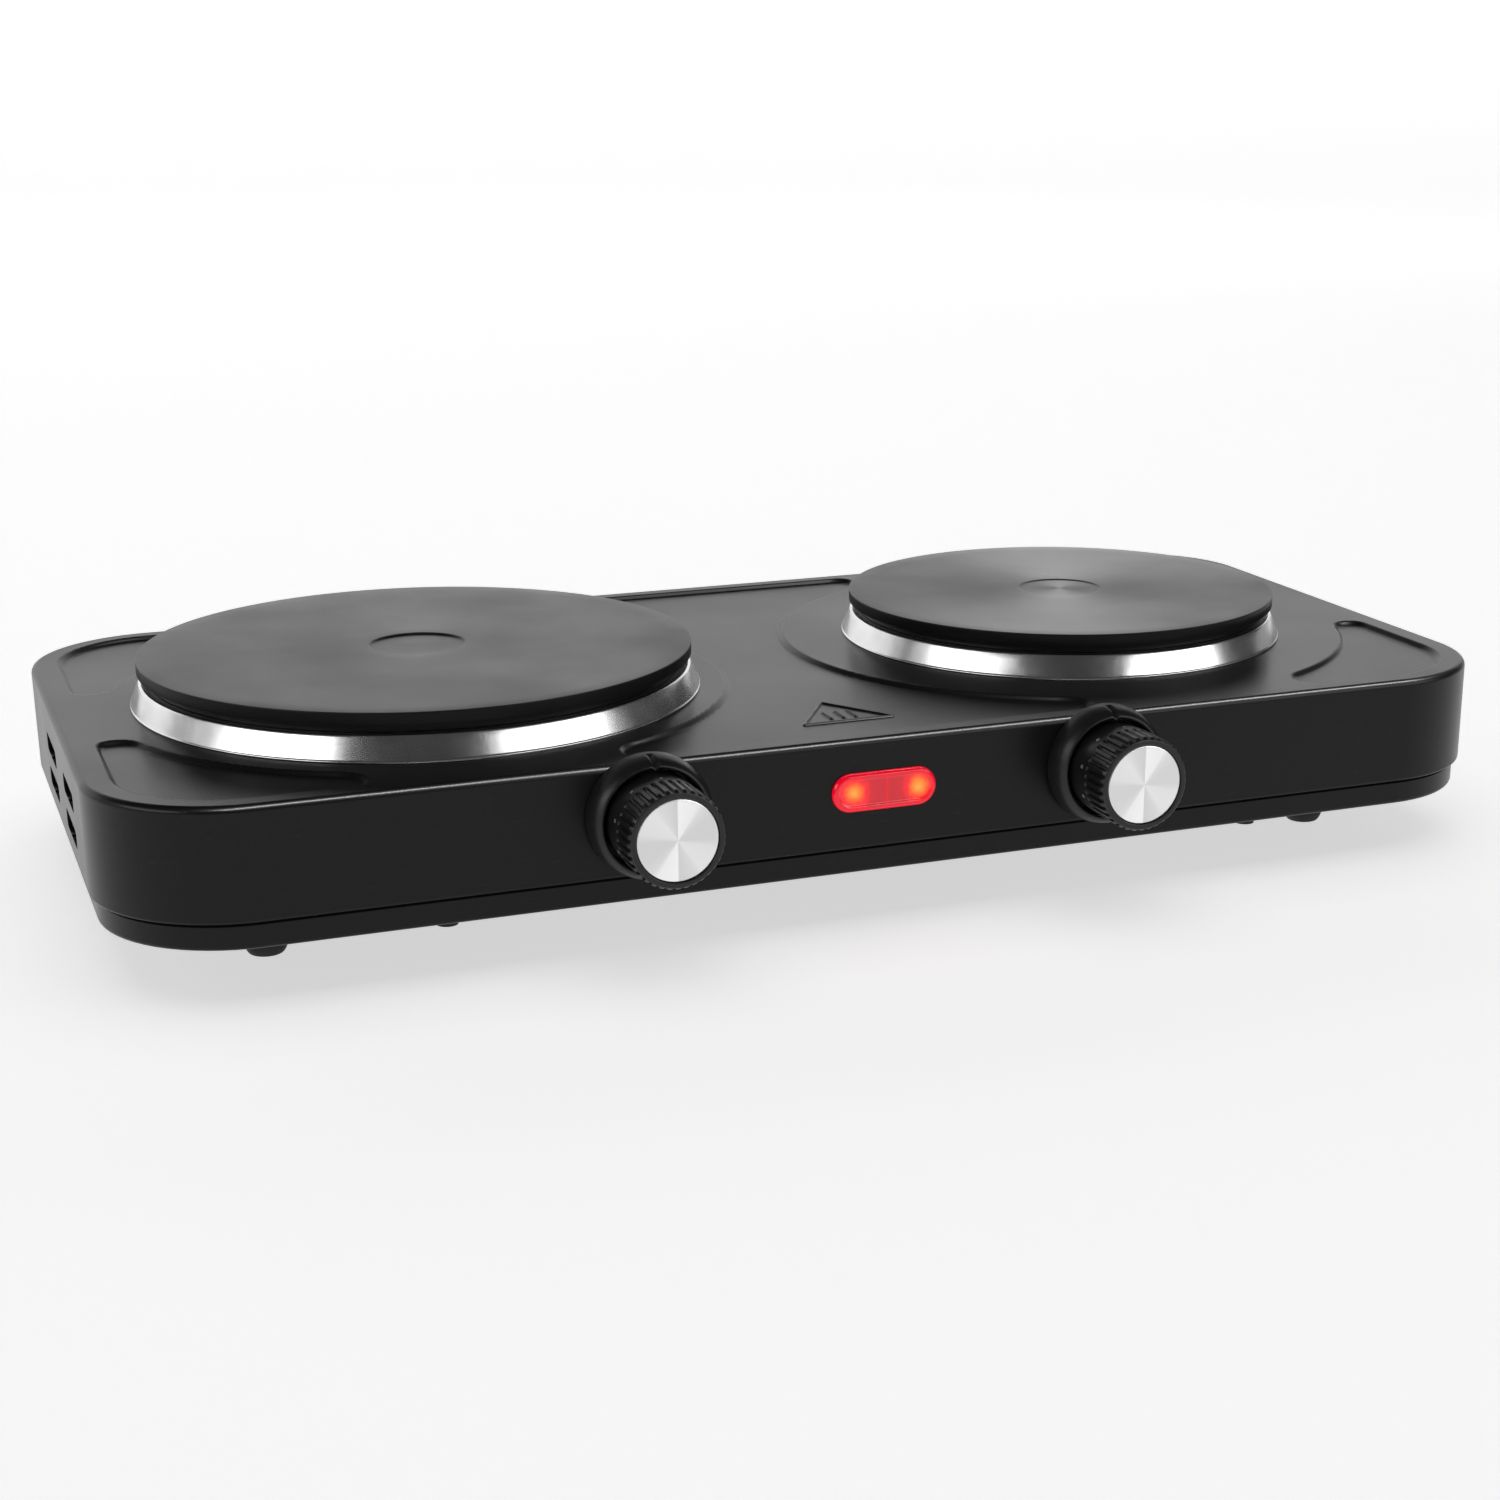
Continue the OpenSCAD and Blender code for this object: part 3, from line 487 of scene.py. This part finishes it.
def outline(inset):
    """Points and outward normals round the case, anticlockwise from the middle of the back."""
    hw, hd, r = CASE_W / 2 - CORNER_R, CASE_D / 2 - CORNER_R, CORNER_R - inset
    points, normals = [], []

    def straight(ax, ay, bx, by, nx, ny, count):
        for t in np.arange(1, count) / count:
            points.append((ax + (bx - ax) * t, ay + (by - ay) * t))
            normals.append((nx, ny))

    def arc(cx, cy, first):
        for k in range(ARC_STEPS + 1):
            a = math.radians(first + 90 * k / ARC_STEPS)
            points.append((cx + r * math.cos(a), cy + r * math.sin(a)))
            normals.append((math.cos(a), math.sin(a)))

    long, short = round(2 * hw / STEP / 2) * 2, round(2 * hd / STEP)
    points.append((0, hd + r))
    normals.append((0, 1))
    straight(0, hd + r, -hw, hd + r, 0, 1, long // 2)
    arc(-hw, hd, 90)
    straight(-hw - r, hd, -hw - r, -hd, -1, 0, short)
    arc(-hw, -hd, 180)
    straight(-hw, -hd - r, hw, -hd - r, 0, -1, long)
    arc(hw, -hd, 270)
    straight(hw + r, -hd, hw + r, hd, 1, 0, short)
    arc(hw, hd, 0)
    straight(hw, hd + r, 0, hd + r, 0, 1, long // 2)
    return np.array(points), np.array(normals)


def around(shell, profile, profile_normals):
    """Lofts (inset, z) points round the case's outline."""
    loops, normals = [], []
    for (inset, z), (out, up) in zip(profile, profile_normals):
        pts, nrm = outline(inset)
        loops.append([(x, y, z) for x, y in pts])
        normals.append([(nx * out, ny * out, up) for nx, ny in nrm])
    shell.loft(loops, normals, down=True)


def quarter(inset, z, r, first, last, steps=6):
    """Points and normals of an arc in (inset, z); angles are measured up from outward."""
    pts, nrm = [], []
    for a in np.radians(np.linspace(first, last, steps + 1)):
        pts.append((inset - r * math.cos(a), z + r * math.sin(a)))
        nrm.append((math.cos(a), math.sin(a)))
    return pts, nrm


def cdt(points, loops, inside):
    """Triangles over a flat region. loops are index lists of closed edges; inside(x, y) keeps a triangle."""
    edges = [(loop[i], loop[(i + 1) % len(loop)]) for loop in loops for i in range(len(loop))]
    made = delaunay_2d_cdt([Vector(p) for p in points], edges, [], 0, 1e-4)
    verts, faces = made[0], made[2]
    verts = np.array([(v.x, v.y) for v in verts])
    kept = []
    for f in faces:
        mid = verts[list(f)].mean(axis=0)
        if inside(mid[0], mid[1]):
            kept.append(tuple(f))
    return verts, kept


# ---------------------------------------------------------------- embossed top
def smooth_max(a, b, k):
    """The larger of a and b, blended where they are within k of each other."""
    h = np.maximum(k - np.abs(a - b), 0) / k
    return np.maximum(a, b) + h * h * k * 0.25


def box_distance(x, y, cx, cy, hw, hd, r=0.0):
    """Signed distance to a rounded rectangle with its middle at cx, cy and half sizes hw, hd."""
    dx, dy = np.abs(x - cx) - hw + r, np.abs(y - cy) - hd + r
    return np.hypot(np.maximum(dx, 0), np.maximum(dy, 0)) + np.minimum(np.maximum(dx, dy), 0) - r


MARGIN, FRONT_MARGIN = 10.0, 8.5    # raised margin beside the sunk fields, and before and behind them
FIELD_BLEND = 7.0                   # rounding of the fields' inner corners
BRIDGE, END_BRIDGE = 40.0, 32.0     # half widths of the bridges before and behind a plate, and at its end
SLOPE_PITCH, MARK_PITCH, FLAT_PITCH = 0.9, 0.45, 15.0      # spacing of the top's mesh points


def field_distance(x, y):
    """Signed distance to the sunk fields of the top: negative inside them. Each plate keeps a raised
    round field, joined to the margin by a raised bridge in front, behind and at the case's end."""
    d = box_distance(x, y, 0, 0.5, CASE_W / 2 - MARGIN, CASE_D / 2 - FRONT_MARGIN, CORNER_R - MARGIN)
    for side in SIDES.values():
        d = smooth_max(d, FIELD_R - np.hypot(x - side * PLATE_X, y - PLATE_Y), FIELD_BLEND)
        d = smooth_max(d, -box_distance(x, y, side * PLATE_X, 0, BRIDGE, 140), FIELD_BLEND)
        d = smooth_max(d, -box_distance(x, y, side * 190, -1, 70, END_BRIDGE), FIELD_BLEND)
    return d


# corners and strokes of the plain triangle between the plates
MARK = [(-15.9, -92.9), (14.9, -92.9), (-0.5, -68.4)]
STROKES = [(MARK[i], MARK[(i + 1) % 3]) for i in range(3)]
STROKES += [((x, -88.8), (x, -80.8)) for x in (-4.8, -0.5, 3.8)]


def mark_distance(x, y):
    """Distance to the strokes of the plain triangle between the plates."""
    best = np.full(np.shape(x), 1e3)
    for (ax, ay), (bx, by) in STROKES:
        px, py, vx, vy = x - ax, y - ay, bx - ax, by - ay
        t = np.clip((px * vx + py * vy) / (vx * vx + vy * vy), 0, 1)
        best = np.minimum(best, np.hypot(px - t * vx, py - t * vy))
    return best


def smoothstep(t):
    """Eases from 0 to 1."""
    t = np.clip(t, 0, 1)
    return t * t * (3 - 2 * t)


LINE_H, LINE_SLOPE = 0.6, 0.8       # the mark's raised strokes


def top_height(x, y):
    sunk = EMBOSS * smoothstep(0.5 - field_distance(x, y) / SLOPE)
    line = LINE_H * smoothstep(1.1 - mark_distance(x, y) / LINE_SLOPE)
    return CASE_TOP - sunk + line


def node_radius(node):
    """Radius of a round CAD node that stands upright."""
    lo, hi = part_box(node)
    return (hi[0] - lo[0]) / 2 / MM


PLATE_R = {name: node_radius("hotplate_" + name) for name in SIDES}
OPENING_R = {name: PLATE_R[name] - 5 for name in SIDES}
OPENING_STEPS = 128
COLLAR = 5.0                        # how far each opening's edge is turned down


def opening_loop(name, side):
    """Points round a plate's opening in the case, anticlockwise."""
    a = np.arange(OPENING_STEPS) * 2 * math.pi / OPENING_STEPS
    r = OPENING_R[name]
    return np.column_stack((side * PLATE_X + r * np.cos(a), PLATE_Y + r * np.sin(a)))


def band_points(distance, x0, y0, x1, y1, pitch, reach):
    """Grid points within reach of the zero line of a distance function."""
    gx, gy = np.meshgrid(np.arange(x0, x1, pitch), np.arange(y0, y1, pitch * 0.866))
    gx = gx + (np.arange(gy.shape[0]) % 2)[:, None] * pitch / 2
    near = np.abs(distance(gx, gy)) < reach
    return np.column_stack((gx[near], gy[near]))


def case_top(shell):
    """The embossed top. Its points lie close together on slopes and strokes, and far apart on flats."""
    rim = outline(EDGE_R)[0]
    points = [rim]
    loops = [list(range(len(rim)))]
    for name, side in SIDES.items():
        start = sum(len(p) for p in points)
        points.append(opening_loop(name, side))
        loops.append(list(range(start, start + OPENING_STEPS)))
    slopes = band_points(field_distance, -236, -116, 236, 117, SLOPE_PITCH, SLOPE / 2 + 1.0)
    mark = band_points(mark_distance, -22, -99, 22, -63, MARK_PITCH, 1.9)
    mark_zone = np.array([mark_distance(x, y) < 2.2 for x, y in slopes])
    slopes = slopes[~mark_zone]
    gx, gy = np.meshgrid(np.arange(-225, 226, FLAT_PITCH), np.arange(-105, 110, FLAT_PITCH))
    flat = np.column_stack((gx.ravel(), gy.ravel()))
    flat = flat[np.abs(field_distance(flat[:, 0], flat[:, 1])) > SLOPE / 2 + 4]
    flat = flat[mark_distance(flat[:, 0], flat[:, 1]) > 6]
    extra = np.vstack((slopes, mark, flat))
    free = np.ones(len(extra), bool)
    for name, side in SIDES.items():
        free &= np.hypot(extra[:, 0] - side * PLATE_X, extra[:, 1] - PLATE_Y) > OPENING_R[name] + 2
    points.append(extra[free])

    def on_steel(x, y):
        return all(
            math.hypot(x - side * PLATE_X, y - PLATE_Y) > OPENING_R[name] - 0.05
            for name, side in SIDES.items()
        )

    verts, faces = cdt(np.vstack(points), loops, on_steel)
    x, y = verts[:, 0], verts[:, 1]
    z = top_height(x, y)
    e = 0.15                        # step for the slope of the surface
    dzdx = (top_height(x + e, y) - top_height(x - e, y)) / (2 * e)
    dzdy = (top_height(x, y + e) - top_height(x, y - e)) / (2 * e)
    normals = np.column_stack((-dzdx, -dzdy, np.ones(len(x))))
    shell.add(np.column_stack((x, y, z)), normals, faces)
    # collar of each opening
    for name, side in SIDES.items():
        edge = opening_loop(name, side)
        loops = [[(px, py, level) for px, py in edge] for level in (CASE_TOP, CASE_TOP - COLLAR)]
        inward = [(side * PLATE_X - px, PLATE_Y - py, 0) for px, py in edge]
        shell.loft(loops, [inward, inward])


def rect_loop(w, h, r, steps=5):
    """Rounded rectangle round the origin, anticlockwise."""
    out = []
    for cx, cy, first in ((1, 1, 0), (-1, 1, 90), (-1, -1, 180), (1, -1, 270)):
        for k in range(steps + 1):
            a = math.radians(first + 90 * k / steps)
            out.append((cx * (w / 2 - r) + r * math.cos(a), cy * (h / 2 - r) + r * math.sin(a)))
    return np.array(out)


def ring_loop(diameter):
    """Circle round the origin, anticlockwise."""
    return rect_loop(diameter, diameter, diameter / 2, 8)


def case_wall(shell):
    """The upright wall, worked out flat as (length along the outline, z), then wrapped round."""
    top, bottom = CASE_TOP - EDGE_R, SKIRT_Z + LIP_R
    rim, nrm = outline(0)
    closed = np.vstack((rim, rim[:1]))
    closed_n = np.vstack((nrm, nrm[:1]))
    run = np.concatenate(([0], np.cumsum(np.linalg.norm(np.diff(closed, axis=0), axis=1))))

    def along(x, y):
        """Length along the outline of a point on a straight part of it."""
        best = None
        for i in range(len(rim)):
            a, b = closed[i], closed[i + 1]
            t = np.clip(np.dot((x - a[0], y - a[1]), b - a) / np.dot(b - a, b - a), 0, 1)
            gap = math.hypot(*(a + t * (b - a) - (x, y)))
            if best is None or gap < best[0]:
                best = (gap, run[i] + t * (run[i + 1] - run[i]))
        return best[1]

    def wrap(s, z, depth=0.0):
        x = np.interp(s, run, closed[:, 0]) - depth * np.interp(s, run, closed_n[:, 0])
        y = np.interp(s, run, closed[:, 1]) - depth * np.interp(s, run, closed_n[:, 1])
        return np.column_stack((x, y, z))

    holes = []
    for sign in (-1, 1):
        for y in VENT_Y:
            for z in VENT_Z:
                holes.append((along(sign * CASE_W / 2, y), z, rect_loop(VENT_L, VENT_H, VENT_R)))
    slot_w, slot_h = LAMP_W - LENS_LAP, LAMP_H - LENS_LAP
    holes.append((along(LAMP_X, FRONT), LAMP_Z, rect_loop(slot_w, slot_h, slot_h / 2)))
    holes.append((along(INLET_X, -FRONT), INLET_Z, ring_loop(INLET_D)))
    for sign in (-1, 1):
        holes.append((along(sign * KNOB_X, FRONT), KNOB_Z, ring_loop(BUSHING_D)))
    lower = np.column_stack((run, np.full(len(run), bottom)))
    upper = np.column_stack((run, np.full(len(run), top)))[::-1]
    points = [lower, upper]
    loops = [list(range(2 * len(run)))]
    for s, z, shape in holes:
        start = sum(len(p) for p in points)
        points.append(shape + (s, z))
        loops.append(list(range(start, start + len(shape))))

    def on_wall(s, z):
        return not any(in_hole(shape, s - hs, z - hz) for hs, hz, shape in holes)

    verts, faces = cdt(np.vstack(points), loops, on_wall)
    s = verts[:, 0]
    normal = np.column_stack((np.interp(s, run, closed_n[:, 0]), np.interp(s, run, closed_n[:, 1]),
                              np.zeros(len(s))))
    shell.add(wrap(s, verts[:, 1]), normal, faces)
    # the thickness of the steel round each hole
    for hs, hz, shape in holes:
        loops, normals = [], []
        for depth in (0.0, SHEET):
            loops.append(wrap(shape[:, 0] + hs, shape[:, 1] + hz, depth))
            inward = wrap(np.full(len(shape), hs), np.full(len(shape), hz), depth) - loops[-1]
            normals.append(inward)
        shell.loft([[tuple(p) for p in loop] for loop in loops], normals)


def in_hole(shape, x, y):
    """Whether a point is inside a convex loop."""
    nxt = np.roll(shape, -1, axis=0)
    cross = (nxt[:, 0] - shape[:, 0]) * (y - shape[:, 1]) - (nxt[:, 1] - shape[:, 1]) * (x - shape[:, 0])
    return bool(np.all(cross > 0))


def make_case():
    """The upper case, from the embossed top down to the lip turned in at its lower edge."""
    shell = Shell()
    case_top(shell)
    around(shell, *quarter(EDGE_R, CASE_TOP - EDGE_R, EDGE_R, 90, 0, 8))
    case_wall(shell)
    pts, nrm = quarter(LIP_R, SKIRT_Z + LIP_R, LIP_R, 0, -90)
    around(shell, pts, nrm)
    around(shell, [(LIP_R, SKIRT_Z), (LIP_R + 0.4, SKIRT_Z + 0.8)], [(-1, -0.5), (-1, 0)])
    obj = shell.build("case_shell", PAINT, (0, CASE_Y, 0))
    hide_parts("upper_case")
    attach(obj, "case")


# ---------------------------------------------------------------- plates and rings
RIM_T = 4.1                         # height of a plate's outer rim
SHOULDER_IN, SHOULDER_H = 3.4, 2.9  # the shoulder below the rim: how far in, and how tall
DIMPLE = {"left": (15.9, 0.7), "right": (14.8, 0.35)}      # radius and depth


def make_plate(name, side):
    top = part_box("hotplate_" + name)[1][2] / MM
    r, band = PLATE_R[name], top - RIM_T
    dimple, sunk = DIMPLE[name]
    profile = rounded([
        (0, top - sunk, 0), (dimple - 0.2, top - sunk, 0.4), (dimple + 0.4, top, 0.4), (r, top, 0.45),
        (r, band, 0.35), (r - SHOULDER_IN, band, 0.3), (r - SHOULDER_IN, band - SHOULDER_H, 0.3),
        (r - 7, band - SHOULDER_H, 0)
    ], 4)
    profile = subdivide(profile, 6.0)
    shell = lathe(profile, 256)
    obj = shell.build("plate_" + name, IRON[name], (side * PLATE_X, CASE_Y + PLATE_Y, 0), sharp=50)
    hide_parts("hotplate_" + name)
    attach(obj, "case")


def subdivide(profile, longest):
    """Adds points so that no step of the profile is longer than longest."""
    out = [profile[0]]
    for a, b in zip(profile, profile[1:]):
        a, b = np.array(a), np.array(b)
        count = max(1, int(np.linalg.norm(b - a) / longest))
        out.extend(a + (b - a) * k / count for k in range(1, count + 1))
    return out


def make_trim(name, side):
    """Straight steep cone from under the plate's rim down to the case."""
    rim = node_radius("trim_ring_" + name)
    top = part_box("trim_ring_" + name)[1][2] / MM
    r, base = PLATE_R[name], CASE_TOP + 0.05
    profile = rounded([
        (r - 6.2, top, 0), (r - 0.5, top, 0.8), (rim - 0.35, base + 0.9, 0.25), (rim, base + 0.5, 0.2),
        (rim - 0.15, base, 0.1), (rim - 1.0, base, 0)
    ], 6)
    shell = lathe(subdivide(profile, 1.5), 256)
    obj = shell.build("trim_" + name, STEEL, (side * PLATE_X, CASE_Y + PLATE_Y, 0), sharp=60)
    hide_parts("trim_ring_" + name)
    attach(obj, "case")


# ---------------------------------------------------------------- knobs
def knob_frame(side):
    """Where a knob's local frame stands: local z leads out of the front wall, local y points up."""
    return (side * KNOB_X, CASE_Y + FRONT, KNOB_Z), (math.pi / 2, 0, 0)


def make_bezel(name, side):
    """Round collar with a notch at the top, which the knob's scale is read against."""
    profile = rounded([
        (16.3, 1.7, 0), (16.3, 8.6, 0.5), (16.9, 9.4, 0.35), (17.6, 9.35, 0.5), (19.1, 7.6, 1.6),
        (19.9, 4.0, 1.4), (19.9, 0.4, 0.3), (19.7, 0.05, 0)
    ], 6)

    def notch(a, r, z):
        """V-shaped pointer cut across the ring's top."""
        off = abs(math.remainder(a - math.pi / 2, 2 * math.pi)) * r
        if z < 3.4 or r < 16.6:
            return r
        return r - max(0.0, 1.0 - off / 1.1) * 0.9

    shell = lathe(profile, 256, notch)
    location, rotation = knob_frame(side)
    obj = shell.build("bezel_ring_" + name, BEZEL, location, rotation, sharp=50)
    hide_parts("bezel_" + name)
    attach(obj, "case")


GROOVES = 36
DISC_SUNK = 0.28                    # the disc's face below the knob's rim
GRIP_BACK, GRIP_FRONT = 18.2, REACH - 1.5


def make_knob(name, side):
    """Smooth scale band, then a grooved grip, then a plain rim round the disc."""
    floor_r = KNOB_R - 0.75         # at the bottom of the grooves
    profile = rounded([
        (floor_r - 0.1, 2.4, 0), (15.3, 2.9, 0.3), (15.3, GRIP_BACK - 0.6, 0.4), (KNOB_R, GRIP_BACK, 0.3),
        (KNOB_R, GRIP_FRONT, 0.4), (floor_r + 0.1, REACH - 0.3, 0.3), (floor_r - 0.3, REACH, 0.25),
        (DISC_R + 0.35, REACH, 0.2), (DISC_R + 0.1, REACH - 0.25, 0.15), (DISC_R + 0.1, REACH - 1.2, 0)
    ], 4)
    profile = subdivide(profile, 1.2)

    def groove(a, r, z):
        if z < GRIP_BACK - 0.7 or r < floor_r:
            return r
        phase = (a * GROOVES / (2 * math.pi)) % 1.0
        # a flat-bottomed groove over a little under half the pitch, with soft shoulders
        cut = smoothstep((0.30 - abs(phase - 0.5)) / 0.14)
        start = smoothstep((z - GRIP_BACK + 0.2) / 0.8)
        return r - (r - floor_r) * float(cut) * float(start)

    shell = lathe(profile[::-1], GROOVES * 14, groove)
    location, rotation = knob_frame(side)
    obj = shell.build("knob_body_" + name, KNOB, location, rotation, sharp=42)
    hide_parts("knob_" + name)
    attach(obj, "knob_" + name)


def make_disc(name, side):
    face = REACH - DISC_SUNK
    profile = rounded([
        (0, face, 0), (DISC_R - 0.35, face, 0.3), (DISC_R, face - 0.35, 0.2), (DISC_R, face - 0.9, 0)
    ], 4)
    shell = lathe(subdivide(profile, 1.0), 192)
    location, rotation = knob_frame(side)
    obj = shell.build("disc_face_" + name, DISC, location, rotation, sharp=30)
    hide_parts("knob_disc_" + name)
    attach(obj, "knob_" + name)


# ---------------------------------------------------------------- pilot lamp
def capsule(w, h, steps=24):
    """Outline of a pill shape round the origin."""
    return rect_loop(w, h, h / 2, steps)


def make_lens():
    """A red lens: raised rim round a lower face, on a narrower body that reaches through the slot."""
    shell = Shell()
    layers = rounded([(0.0, 0.06, 0), (0.0, 0.9, 0.3), (0.7, 1.7, 0.5), (1.6, 1.75, 0.4), (2.4, 1.25, 0.3),
                      (4.4, 1.1, 0)], 4)
    loops = [[(x, y, z) for x, y in capsule(LAMP_W - 2 * inset, LAMP_H - 2 * inset)] for inset, z in layers]
    shell.loft(loops, loops)
    shell.faces.append(tuple(range(len(shell.verts) - len(loops[0]), len(shell.verts))))
    back = capsule(LAMP_W - 3.6, LAMP_H - 3.6)
    loops = [[(x, y, z) for x, y in back] for z in (0.06, -4.6)]
    shell.loft(loops[::-1], loops)
    shell.faces.append(tuple(range(len(shell.verts) - len(back), len(shell.verts)))[::-1])
    obj = shell.build("lens_red", RED, (LAMP_X, CASE_Y + FRONT, LAMP_Z), (math.pi / 2, 0, 0), sharp=35)
    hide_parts("lamp_lens")
    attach(obj, "case")


# ---------------------------------------------------------------- feet
def make_feet():
    """Tapered rubber feet with a recess for the screw."""
    for node in ("foot_front_left", "foot_front_right", "foot_back_left", "foot_back_right"):
        lo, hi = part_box(node)
        x, y = (lo[0] + hi[0]) / 2 / MM, (lo[1] + hi[1]) / 2 / MM
        top = hi[2] / MM
        profile = rounded([
            (3.1, 6.6, 0), (3.1, 0.6, 0.3), (3.9, 0, 0.5), (5.4, 0, 0.8), (6.9, 2.4, 1.8), (7.3, 6.5, 1.5),
            (7.4, top - 2.2, 0.5), (8.9, top - 1.8, 0.5), (8.9, top, 0)
        ], 5)
        obj = lathe(profile[::-1], 96).build("rubber_" + node, RUBBER, (x, y, 0), sharp=50)
        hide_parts(node)
        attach(obj, "case")


make_case()
for side_name, side_sign in SIDES.items():
    make_plate(side_name, side_sign)
    make_trim(side_name, side_sign)
    make_bezel(side_name, side_sign)
    make_knob(side_name, side_sign)
    make_disc(side_name, side_sign)
make_lens()
make_feet()


# ---------------------------------------------------------------- floor, light and camera
FLOOR_R, FLOOR_CURVE = 3000.0, 900.0        # flat part, and how far out its edge curves up
WALL_FRONT, WALL_BACK = 450.0, 2200.0       # heights of the surround


def make_floor():
    """Pale floor that turns up into a low surround, and into a higher wall behind."""
    shell = Shell()
    count, rings = 96, 15
    loops = []
    for t in np.linspace(0, math.pi / 2, rings):
        loops.append([])
        for i in range(count):
            a = 2 * math.pi * i / count
            behind = float(smoothstep((math.sin(a) - 0.3) / 0.35))
            height = WALL_FRONT + (WALL_BACK - WALL_FRONT) * behind
            radius, z = FLOOR_R + FLOOR_CURVE * math.sin(t), height * (1 - math.cos(t))
            loops[-1].append((radius * math.cos(a), radius * math.sin(a), z))
    shell.loft(loops, loops)
    shell.verts.append((0.0, 0.0, 0.0))
    shell.normals.append((0, 0, 1))
    centre = len(shell.verts) - 1
    shell.faces.extend((centre, i, (i + 1) % count) for i in range(count))
    mat, add, bsdf = new_material("floor_white", (0.86, 0.86, 0.86), 0.9, Emission_Strength=0.5)
    bsdf.inputs["Emission Color"].default_value = (1, 1, 1, 1)
    # bright behind and around the object, dim far out to the sides and the front
    place = add("SeparateXYZ", {"Vector": add("TexCoord").outputs["Object"]})
    aside = add("Math", {0: place.outputs["X"]}, operation="ABSOLUTE").outputs[0]
    back = add("Math", {0: place.outputs["Y"], 1: -0.8}, operation="MULTIPLY").outputs[0]
    outward = add("Math", {0: aside, 1: back}, operation="ADD").outputs[0]
    near = spread(add, outward, 1.0, 0.2, 0.9, 1.6)
    pale = spread(add, place.outputs["Z"], 0.62, 0.80, 0.05, 0.6)
    strength = add("Math", {0: near, 1: pale}, operation="MULTIPLY").outputs[0]
    add.link(strength, bsdf.inputs["Emission Strength"])
    add.link(spread(add, noise(add, 3, 2), 0.88, 0.95), bsdf.inputs["Roughness"])
    shell.build("floor", mat, sharp=80)


def area_light(name, azimuth, elevation, distance, width, height, radiance):
    """Soft light seen from the object at azimuth (0 is behind it, 90 to its right) and elevation."""
    light = bpy.data.lights.new(name, "AREA")
    light.shape = "RECTANGLE"
    light.size, light.size_y = width, height
    light.energy = radiance * width * height * math.pi
    obj = bpy.data.objects.new(name, light)
    az, el = math.radians(azimuth), math.radians(elevation)
    away = Vector((math.sin(az) * math.cos(el), math.cos(az) * math.cos(el), math.sin(el)))
    obj.location = away * distance + Vector((0, 0, 0.05))
    obj.rotation_euler = away.to_track_quat("Z", "Y").to_euler()
    obj.visible_camera = False
    bpy.context.scene.collection.objects.link(obj)
    return obj


def make_lights():
    """Boxes to the left and right that are only mirrored by the object, a broad overhead light that is
    never mirrored, and a strip that draws the bright line along the case's front edge."""
    strip = area_light("edge_strip", 150, 62, 2.4, 3.2, 0.3, 70.0)
    strip.light_linking.receiver_collection = bpy.data.collections.new("edge_lit")
    strip.light_linking.receiver_collection.objects.link(bpy.data.objects["case_shell"])
    for light in (strip, area_light("left_box", -106, 22, 2.2, 1.7, 0.8, 3.2),
                  area_light("left_wrap", -76, 20, 2.1, 0.6, 0.8, 0.7),
                  area_light("right_box", 139, 22, 2.2, 1.9, 0.8, 3.2)):
        light.visible_diffuse = False
    overhead = area_light("overhead", 0, 89, 2.4, 3.0, 3.0, 0.75)
    overhead.visible_glossy = False
    world = bpy.data.worlds.new("studio")
    world.use_nodes = True
    world.node_tree.nodes["Background"].inputs["Color"].default_value = (1, 1, 1, 1)
    world.node_tree.nodes["Background"].inputs["Strength"].default_value = 0.05
    bpy.context.scene.world = world


def make_camera():
    """Set by solving for the case, rings and knobs seen in the reference view."""
    cam = bpy.data.cameras.new("camera")
    cam.sensor_width = 36.0
    cam.lens = 60.42
    cam.shift_x, cam.shift_y = -0.0648, 0.0812
    cam.clip_start, cam.clip_end = 0.05, 60.0
    obj = bpy.data.objects.new("camera", cam)
    obj.location = (-0.2994, -0.8190, 0.2742)
    obj.rotation_euler = (math.pi / 2 - 0.3211, 0.0, -0.3851)
    bpy.context.scene.collection.objects.link(obj)
    bpy.context.scene.camera = obj


make_floor()
make_lights()
make_camera()
bpy.context.scene.view_settings.view_transform = "Standard"
